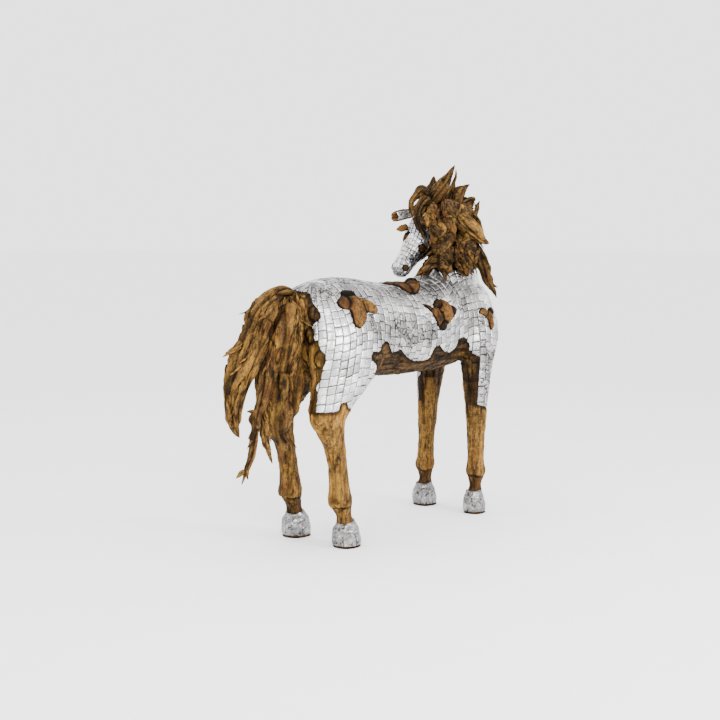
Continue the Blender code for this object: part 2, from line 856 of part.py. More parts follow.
def plated_head_region(name, grow):
    rings = []
    for left in (-8.5 - grow, 8.5 + grow):
        middle = Vector((14.0, -3.0))
        ring = []
        for along, above in PLATED_HEAD:
            away = (Vector((along, above)) - middle).normalized() * grow
            ring.append(on_head(along + away.x, left, above + away.y) * PERCENT)
        rings.append(ring)
    return loft(name, rings)


def patch_block(name, view, outline, grow=0.0):
    """The block that a wooden patch is sawn from, or the opening for it."""
    count = len(outline)
    turn = sum(
        outline[i - 1][0] * outline[i][1] - outline[i][0] * outline[i - 1][1] for i in range(count)
    )
    outward = 1 if turn > 0 else -1
    wider = []
    for i in range(count):
        before, here, after = (Vector(outline[(i + k) % count]) for k in (-1, 0, 1))
        arriving = (here - before).normalized()
        leaving = (after - here).normalized()
        first = Vector((arriving.y, -arriving.x)) * outward
        second = Vector((leaving.y, -leaving.x)) * outward
        wider.append(tuple(here + (first + second) * (grow / (1 + first.dot(second)))))
    if view == "above":
        return prism(name, wider, "xy", 88, 112)
    low, high = (-32, -4) if view == "right" else (4, 32)
    return prism(name, wider, "xz", low, high)


def root_piece(name, stations, steps=1, sides=ROOT_SIDES):
    """A gnarled root: a tapering bar whose broad face is turned to SHOWN_TO."""
    dice = random.Random(name)
    rows = spline(stations, steps)
    centres = [Vector(row[:3]) * PERCENT for row in rows]
    rings = []
    for i, row in enumerate(rows):
        ahead = centres[min(i + 1, len(rows) - 1)]
        behind = centres[max(i - 1, 0)]
        along = (ahead - behind).normalized()
        across = along.cross(Vector(SHOWN_TO)).normalized()
        facing = across.cross(along).normalized()
        ring = []
        for side in range(sides):
            angle = 2 * math.pi * (side + 0.5) / sides
            swell = 1 + GNARL * (dice.random() * 2 - 1)
            wide = row[3] * math.cos(angle) * swell
            thick = row[4] * math.sin(angle) * swell
            ring.append(centres[i] + (across * wide + facing * thick) * PERCENT)
        rings.append(ring)
    return loft(name, rings)


def knob(name, centre, normal, radius, height):
    """A round wooden stud standing on the plating."""
    up = Vector(normal).normalized()
    across = up.orthogonal().normalized()
    other = up.cross(across)
    rings = []
    for share, rise in ((1.0, -1.2), (1.0, 0.45 * height), (0.8, 0.8 * height), (0.4, height)):
        middle = (Vector(centre) + up * rise) * PERCENT
        reach = radius * share * PERCENT
        rings.append(oval(middle, across, other, reach, reach, reach, 10))
    return loft(name, rings)


def mirrored(point):
    """The place on the other side of the head's middle plane."""
    _, _, left = head_axes()
    away = Vector(point) - Vector(POLL)
    return Vector(point) - left * (2 * away.dot(left))


def mirrored_stations(stations):
    return [tuple(mirrored(row[:3])) + tuple(row[3:]) for row in stations]


def hoof(name, x, side, half_length, half_width, material, low, high):
    """A slice of a hoof between two heights, widest at the ground."""
    rings = []
    for z in [low + (high - low) * i / 2 for i in range(3)]:
        share = z / HOOF_TOP
        flare = 1 - 0.17 * share**1.5
        rings.append(
            oval(
                Vector((x - 0.9 * share, side * LEG_SPREAD, z)) * PERCENT,
                Vector((1, 0, 0)),
                Vector((0, 1, 0)),
                half_length * flare * PERCENT,
                half_width * flare * PERCENT,
                half_width * flare * PERCENT,
                16,
                2.3,
            )
        )
    obj = loft(name, rings)
    obj.data.materials.append(material)
    return obj


def stand_on_origin():
    """Moves the figure so that the origin is under the middle of its bounding box."""
    boxes = [box_of(obj) for obj in bpy.data.objects]
    low = Vector([min(box[0][i] for box in boxes) for i in range(3)])
    high = Vector([max(box[1][i] for box in boxes) for i in range(3)])
    middle = (low + high) / 2
    step = Vector((-middle.x, -middle.y, -low.z))
    for obj in bpy.data.objects:
        for vertex in obj.data.vertices:
            vertex.co += step


def main():
    clear_scene()
    wood = paint("root wood", (0.33, 0.19, 0.08), 0.62, 0.0)
    dark_wood = paint("dark wood", (0.20, 0.10, 0.045), 0.62, 0.0)
    metal = paint("metal plate", (0.70, 0.70, 0.72), 0.32, 1.0)

    body = carcass()
    bare_fit = copy_of(body, "bare fit", FIT)
    plate_back = copy_of(body, "plate back", FIT)
    plate_face = copy_of(body, "plate face", FIT + PLATE)
    over_plate = copy_of(body, "over plate", 2 * FIT + PLATE)
    patch_face = copy_of(body, "patch face", PATCH)
    level_ankles(body)
    body.data.materials.append(wood)

    body_plates = copy_of(plate_face, "body_plates")
    region = plated_body_region()
    combine(body_plates, region, "INTERSECT")
    combine(body_plates, plate_back, "DIFFERENCE")
    combine(body_plates, body, "DIFFERENCE")
    for name, view, outline in PATCHES:
        opening = patch_block("opening", view, outline, 2 * FIT / PERCENT)
        combine(body_plates, opening, "DIFFERENCE")
        bpy.data.objects.remove(opening)
    largest_body(body_plates)
    body_plates.data.materials.append(metal)

    head_plates = copy_of(plate_face, "head_plates")
    cheeks = plated_head_region("cheeks", 0.0)
    combine(head_plates, cheeks, "INTERSECT")
    combine(head_plates, plate_back, "DIFFERENCE")
    combine(head_plates, body, "DIFFERENCE")
    collar = copy_of(body_plates, "collar", FIT)
    combine(head_plates, collar, "DIFFERENCE")
    bpy.data.objects.remove(collar)
    largest_body(head_plates)
    head_plates.data.materials.append(metal)

    for name, view, outline in PATCHES:
        patch = copy_of(patch_face, name)
        block = patch_block("block", view, outline)
        combine(patch, block, "INTERSECT")
        combine(patch, plate_back, "DIFFERENCE")
        combine(patch, body, "DIFFERENCE")
        bpy.data.objects.remove(block)
        largest_body(patch)
        patch.data.materials.append(dark_wood)

    for name, x, side, half_length, half_width in HOOVES:
        sizes = (x, side, half_length, half_width)
        hoof(f"sole_{name}", *sizes, dark_wood, 0.0, SOLE)
        hoof(f"hoof_{name}", *sizes, metal, SOLE + FIT / PERCENT, HOOF_TOP)

    clad = copy_of(over_plate, "clad")
    wide_region = copy_of(region, "wide region", 2 * FIT)
    combine(clad, wide_region, "INTERSECT")
    clad_head = copy_of(over_plate, "clad head")
    wide_cheeks = plated_head_region("wide cheeks", 0.05)
    combine(clad_head, wide_cheeks, "INTERSECT")

    pieces = []
    for name, stations, *_ in MANE + TAIL:
        pieces.append((name, root_piece(name, stations), wood))
    for name, stations, material in (
        ("ear_far", EAR, metal),
        ("ear_near", mirrored_stations(EAR), metal),
        ("brow_leaf", BROW_LEAF, dark_wood),
        ("eye_far", EYE_WEDGE, dark_wood),
    ):
        pieces.append((name, root_piece(name, stations), material))
    for name, centre, normal, radius, height in KNOBS:
        pieces.append((name, knob(name, centre, normal, radius, height), dark_wood))

    done = []
    for name, piece, material in pieces:
        box = box_of(piece)
        for other in (bare_fit, body, clad, clad_head, body_plates, head_plates):
            if near(box, box_of(other), 0.0) and crosses(piece, other):
                combine(piece, other, "DIFFERENCE")
        for other, other_box in done:
            if near(box, other_box, FIT):
                fit = copy_of(other, "fit", FIT)
                if crosses(piece, fit):
                    combine(piece, fit, "DIFFERENCE")
                bpy.data.objects.remove(fit)
        largest_body(piece)
        piece.data.materials.clear()
        piece.data.materials.append(material)
        done.append((piece, box_of(piece)))

    for helper in (
        bare_fit, plate_back, plate_face, over_plate, patch_face, region, wide_region,
        cheeks, wide_cheeks, clad, clad_head,
    ):
        bpy.data.objects.remove(helper)
    stand_on_origin()


main()
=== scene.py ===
"""Visual model of a life-size standing horse of root wood clad in small metal plates.

The figure is written in percent of the height at the withers, as its solids are.
Metres, +Z up, the horse faces +X, the floor is z = 0.
"""

import itertools
import math
import random

import bpy
import numpy as np
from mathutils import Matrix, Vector
from mathutils.bvhtree import BVHTree


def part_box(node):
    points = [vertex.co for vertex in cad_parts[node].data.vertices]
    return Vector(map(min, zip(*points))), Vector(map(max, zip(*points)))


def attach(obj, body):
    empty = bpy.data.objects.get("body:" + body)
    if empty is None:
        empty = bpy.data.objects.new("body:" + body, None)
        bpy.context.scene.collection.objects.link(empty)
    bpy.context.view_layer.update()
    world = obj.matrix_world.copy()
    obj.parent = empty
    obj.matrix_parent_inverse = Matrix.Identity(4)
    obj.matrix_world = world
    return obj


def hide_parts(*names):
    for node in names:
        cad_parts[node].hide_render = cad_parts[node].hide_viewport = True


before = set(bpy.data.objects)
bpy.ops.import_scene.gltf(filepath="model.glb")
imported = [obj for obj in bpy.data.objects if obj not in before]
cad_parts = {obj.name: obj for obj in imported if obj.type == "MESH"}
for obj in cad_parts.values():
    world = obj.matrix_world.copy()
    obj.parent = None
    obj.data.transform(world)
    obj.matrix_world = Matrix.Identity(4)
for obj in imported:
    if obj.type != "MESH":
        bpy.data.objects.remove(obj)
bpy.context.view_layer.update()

# Driving dimensions, metres
WITHERS_HEIGHT = 1.50
PERCENT = WITHERS_HEIGHT / 100
SKIN_VOXEL = 0.0086
HEAD_VOXEL = 0.006
PLATE_WIDTH = 0.047
PLATE_HEIGHT = 0.049
PLATE_GAP = 0.0008
PLATE_FACE = 0.0034
PLATE_BEVEL = 0.0007
PLATE_SUNK = 0.0015
HEAD_PLATE = 0.034
# Least width of a whole plate and of a cut one, least length and greatest size
NARROW_WHOLE = 0.003
NARROW_CUT = 0.008
SHORTEST = 0.006
GREATEST = 0.12
# How far the painted shade in the wood's crevices reaches, how far the floor does
CREVICE_SHADE = 0.055
FLOOR_REACH = 160.0
# Points round the rings of a hoof, an ear and a knob, and columns of plates round the head
HOOF_SIDES = 72
EAR_SIDES = 28
KNOB_SIDES = 28
HEAD_COLUMNS = 13
# The camera of the photograph: where it stands, seen from the hooves' middle
CAMERA_PLACE = (-5.767, -4.958, 1.73)
CAMERA_AIM = (0.743, 0.669)
CAMERA_PITCH = math.radians(5.44)
CAMERA_LENS = 63.0
# Light: strength of the sky; name, place, aim, size and power of each lamp
SKY_STRENGTH = 2.7
LAMPS = (
    ("key", (-5.2, -5.8, 5.2), (0.0, 0.0, 1.1), 2.6, 620.0),
    ("side", (1.4, -6.4, 2.4), (-0.5, 0.0, 1.0), 1.8, 400.0),
    ("top", (-0.5, 0.5, 6.5), (0.0, 0.0, 1.0), 4.0, 120.0),
)
# Colours: dark, middle, light and ruddy wood; dull to bright metal and the dirt on it
WOOD_COLOURS = (
    (0.033, 0.0165, 0.0055), (0.090, 0.0485, 0.0150), (0.205, 0.103, 0.0180), (0.095, 0.036, 0.0100),
)
PATCH_WOOD_COLOURS = (
    (0.015, 0.0062, 0.0013), (0.050, 0.0225, 0.0060), (0.104, 0.050, 0.0125), (0.066, 0.022, 0.0060),
)
METAL_GREYS = (0.20, 0.193, 0.192), (0.47, 0.457, 0.454), (0.81, 0.795, 0.785)
METAL_DIRT = (0.016, 0.013, 0.011)
# Directions
DOWN = Vector((0, 0, -1))
SHOWN_TO = (-0.743, -0.669, 0.0)
HEAD_FORWARD = (-0.633, -0.022, -0.774)
HEAD_DORSAL = (-0.758, -0.183, 0.626)
NECK_DORSAL = (-0.75, 0, 0.66)
# A surface whose normal is nearer to upright than this belongs to the top line
STEEPEST = 0.72
# Knots of the mane's slab: place along it, turn and breadth
SLAB_KNOTS = (0.30, 1.25, 0.42), (0.62, 1.75, 0.42)
# A short strip of root: place along it, rise and breadth
STRIP = (0, -0.7, 0.55), (0.2, 0.2, 1.0), (0.45, 0.4, 1.0), (0.75, 0.3, 0.7)
# A knob's outline: share of its radius, height
KNOB_PROFILE = (
    (1.0, -1.0), (1.24, 0.1), (1.22, 0.42), (1.04, 0.46), (1.0, 0.6), (0.92, 0.72), (0.78, 0.9),
    (0.6, 1.02), (0.4, 1.08), (0.2, 1.1), (0.03, 1.1),
)

# From here on all lengths are in percent of the withers height.
# A height over the back, how far out the plating of haunch and forearm starts,
# and the height under which a leg is bare wood
OVER_BACK = 104.0
HAUNCH_OUT = 12.4
FOREARM_OUT = 13.4
BARE_LEG = 58
HOOF_TOP = 9.0
HOOF_BELT = 0.60 * HOOF_TOP
SOLE = 0.9
LEG_SPREAD = 13.3
FORE_RIGHT_X = 40.8
LEFT_FORE_LEAN = 0.06
LEAN_FROM = 32.0
LEAN_MOST = -0.8
FIRST_COLUMN = -44.0
LAST_COLUMN = 46.0
POLL = (32.9, 8.0, 124.0)
MOUTH = (13.0, 7.2, 100.6), (16.8, 4.2, 100.3)
# Where the plating is engraved: how much, centre and reach; None is everywhere
WORN_SPOTS = (
    (0.95, (-5, None, 79), (18, 1, 8)), (0.50, (34, None, 88), (10, 1, 14)),
    (0.60, (38, None, 68), (8, 1, 6)), (0.70, (-30, None, 84), (4, 1, 4)),
    (0.85, (19.5, 4, 107.5), (3.5, 4, 3)), (1.00, (26.8, 3.0, 119.4), (1.8, 3, 6)),
    (0.35, (26, 5, 105), (5, 4, 4)), (0.90, (45, None, 57), (9, 1, 13)),
)
# The lobe behind an ear: row of the ear's line, half width and half thickness
EAR_LOBE = (26, 0.9, 0.6), (31, 1.7, 0.85), (37, 1.9, 0.85), (43, 1.2, 0.65), (50, 0.3, 0.3)
# Trunk stations: x, top, bottom, half width
TRUNK = (
    (-57, 94.5, 80, 5), (-54, 96.6, 71, 10.5), (-47.5, 98.6, 63.5, 15.5), (-38, 100.6, 61, 17.5),
    (-28, 100.8, 63, 17.5), (-14, 99, 62.3, 17), (0, 97.4, 61.6, 17.3), (13, 98.2, 61.6, 17.3),
    (25, 101, 62, 16.8), (37, 101.5, 63.5, 16.5), (47, 100.5, 66, 15.5), (52.7, 96.5, 71, 13),
    (56.4, 90, 77, 7.5),
)
# Leg stations: height, x, distance from the middle, half length, half width
HIND_LEG = (
    (93, -39, 9, 10, 5), (85, -37.5, 11, 16, 7.5), (77, -37.5, 12, 18.5, 8.3),
    (70, -38.5, 12.1, 17.7, 8.4), (64, -40.8, 12.2, 15.2, 8), (58, -44.6, 12.6, 11.6, 6.8),
    (53, -48.2, 13, 9.4, 5.6), (49, -49.8, 13.3, 7.9, 4.9), (45, -48.8, 13.3, 6, 4.4),
    (39, -46.6, 13.3, 4.2, 3.8), (30, -44.5, 13.3, 3.6, 3.5), (22, -43.4, 13.3, 4.1, 3.6),
    (18, -43.2, 13.3, 5.1, 4.1), (15.5, -42.5, 13.3, 4.2, 3.6), (12, -41.3, 13.3, 3.1, 3),
    (9.5, -40.6, 13.3, 3.5, 3.4), (6, -40.2, 13.3, 3.8, 3.7),
)
FORE_LEG = (
    (93, 42, 8, 8, 4), (85, 43, 10, 11.5, 6.5), (77, 43.5, 11.5, 11.5, 6.8), (70, 43, 12.5, 9.6, 6.2),
    (64, 42, 13, 7.6, 5.5), (58, 41.6, 13.2, 6.3, 5), (50, 41.3, 13.3, 5.2, 4.6), (43, 41, 13.3, 4.3, 4.1),
    (37, 41, 13.3, 3.9, 3.8), (30, 41, 13.3, 3.4, 3.3), (22, 41, 13.3, 3.6, 3.4), (18, 41, 13.3, 4.4, 3.9),
    (15.5, 41, 13.3, 3.6, 3.4), (12, 41, 13.3, 2.7, 2.7), (9.5, 40.8, 13.3, 3.2, 3.1),
    (6, 40.6, 13.3, 3.5, 3.4),
)
# Neck stations: x, y, z of the centre, half depth, half width
NECK = (
    (30, 0, 82, 19, 13), (37, 0, 93, 17, 12), (41.5, 0.5, 104, 13.5, 9.5), (43, 3, 112.5, 11, 7.6),
    (41.5, 6.5, 118.5, 9, 6.4), (37, 8.5, 121.5, 7.5, 5.6), (32.5, 8.6, 121.5, 6, 4.8),
)
# Head stations: distance from the poll, above and below the axis, half width
HEAD = (
    (-5, 1, 2.6, 2.4), (-3, 3.2, 5, 4.2), (1, 4.3, 7.6, 5), (6, 4, 10, 5.4), (10.5, 2.9, 10.4, 5.6),
    (14.5, 1.8, 8.8, 4.7), (18.5, 2.1, 6.4, 3.9), (22.5, 3, 5, 3.6), (25.5, 2.9, 4, 3.6),
    (27.9, 1.9, 3.3, 3.1), (29.4, 0.4, 1.6, 2),
)
# Outlines of the plating seen from the side: x, z
PLATED_UPPER = (
    (-60, 112), (-60, 97), (-54.5, 94.6), (-52.6, 91), (-52.2, 87), (-54.5, 84), (-55.2, 77),
    (-54.2, 73.5), (-54.3, 70.5), (-55.4, 68.6), (-33, 68.6), (-34.1, 72.6), (-28.3, 73.7), (-25.5, 76.2),
    (-20.9, 76.8), (-18.7, 74.6), (-16, 72), (-12, 73.1), (-8.1, 70.6), (-2.6, 68.2), (3.6, 67.5),
    (7.7, 68.4), (8.2, 71.8), (10.5, 73), (12.7, 72.7), (16.6, 70.4), (21.8, 70), (23.9, 72.3), (25, 75),
    (28.9, 75.4), (33.3, 72.1), (36.2, 68.6), (62, 68.6), (62, 98), (50, 102.5), (27, 103.5), (22, 112),
)
PLATED_HAUNCH = (
    (-60, 54.2), (-51.8, 52.6), (-49.9, 53), (-48.7, 55.6), (-46, 55.6), (-42.4, 53.2), (-30, 58),
    (-30, 66), (-32.2, 69.6), (-55, 69.6), (-54.6, 68), (-57.2, 64),
)
PLATED_FOREARM = (
    (37.6, 46.8), (52, 46.8), (60, 69.4), (35.4, 69.4), (37.1, 67), (37.4, 62), (36.6, 57), (36.7, 52),
)
# Outline of the head's plating from its side: along the head, above its line
PLATED_HEAD = (
    (-2.5, 8), (34, 8), (34, -6), (22, -8), (15, -11.5), (6, -11.5), (2, -6), (-1.5, 0),
)
# The plating's rear edge on the haunch: height and least distance from the middle
REAR_EDGE = (
    (55.4, 12.4), (60.5, 13), (66.6, 14.9), (68.6, 13.5), (69.2, 15.7), (70.8, 16.2), (73.5, 16.1),
    (74.3, 14.8), (76.1, 13.7), (80, 11.7), (83.9, 9.8), (86.8, 11.8), (88.4, 11.3), (91.1, 9.3),
    (95.5, 6.5), (96.5, 1), (97.5, 0),
)
# Wooden lobes that stand out behind the haunch's plating: centre, reach, rise
LOBES = (
    ((-54, -10.6, 88.8), 2.3, 1.2), ((-54.5, -15, 72), 2.5, 1.2), ((-55, -9.8, 80.5), 2.2, 0.5),
)
# Wooden patches: name, side they are seen from and outline
PATCHES = (
    ("patch_rump_right", "right", (
        (-45.6, 92.2), (-42.5, 94.2), (-40.1, 96.4), (-35.3, 96.5), (-33.8, 94), (-29.4, 93),
        (-25.4, 89.4), (-26.9, 87.6), (-31.5, 88), (-33.2, 86), (-36.8, 83.6), (-39.4, 82.5),
        (-41.6, 84.2), (-41.2, 89), (-44.6, 90),
    )),
    ("patch_flank_right", "right", (
        (3, 90.2), (7.6, 87.9), (10, 90), (12.3, 91.5), (16.1, 91.6), (20.8, 89), (23.5, 87.3), (22, 84.9),
        (16.2, 81), (14, 78.9), (10.6, 79.8), (9, 82.6), (7, 86.2),
    )),
    ("patch_shoulder_right", "right", (
        (38, 85.4), (41.7, 87.4), (43.8, 85.8), (47.6, 87.2), (48.2, 84.6), (46.2, 82), (46.3, 79),
        (44.2, 77.8), (43, 81.4), (41, 83.8),
    )),
    ("patch_withers", "above", (
        (-7, 1.5), (4, 3), (13.6, 2), (15.2, -1), (12.9, -5.6), (8.4, -9), (3.5, -11.2), (-1, -10.6),
        (-3, -5),
    )),
    ("patch_rump_left", "left", (
        (-42, 91.5), (-37, 94.5), (-32, 92.6), (-29, 88), (-33, 85), (-38, 83.2), (-41.5, 86),
    )),
    ("patch_flank_left", "left", (
        (-4, 86), (0, 90), (6, 91), (10, 87.5), (8, 82), (3, 79), (-2.5, 81),
    )),
    ("patch_shoulder_left", "left", (
        (37.5, 85), (41, 88), (45.5, 87), (46.5, 82), (43.5, 78.5), (39.5, 80.5),
    )),
)
# Lobes of the patches: centre, half sizes, rise in millimetres, tone
PATCH_LOBES = {
    "patch_rump_right": (
        (-42.2, 92, 4.3, 3.1, 9, 0), (-37.8, 88.6, 4.4, 7.4, 14, 0.12), (-29, 90.3, 4.2, 2.7, 12, 0.18),
        (-37.9, 95.3, 3.4, 1.6, 9, -0.45),
    ),
    "patch_flank_right": (
        (12.3, 89.9, 2.5, 1.9, 13, -0.25), (16.1, 86.4, 3.9, 4.9, 16, 0.15),
        (20.9, 87, 2.7, 2.4, 13, -0.3), (10.4, 84.6, 3, 3.4, 10, 0), (13.6, 81, 2.8, 2.4, 10, -0.25),
        (5.2, 88.7, 3.2, 1.2, 7, -0.15),
    ),
    "patch_withers": (
        (0.5, -1.5, 8.5, 2.6, 10, 0), (0.5, -6.6, 4.2, 3.4, 14, -0.1), (6.2, -8.2, 4.2, 2.6, 18, 0.05),
        (9.6, -4.6, 3.4, 2.6, 14, -0.08), (12.4, -1.6, 3, 3, 18, -0.3),
    ),
    "patch_shoulder_right": (
        (41.2, 85.5, 3.2, 2, 9, 0.1), (45, 81.9, 2.2, 4.6, 10, 0.1), (46.4, 85.5, 2, 1.9, 11, -0.2),
    ),
}
# Hooves: name, x, side, half length, half width
HOOVES = (
    ("hind_right", -39.5, -1, 5.2, 4.9), ("hind_left", -39.8, 1, 5.5, 5.2),
    ("fore_right", 40.8, -1, 4.6, 4.3), ("fore_left", 40, 1, 5, 4.8),
)
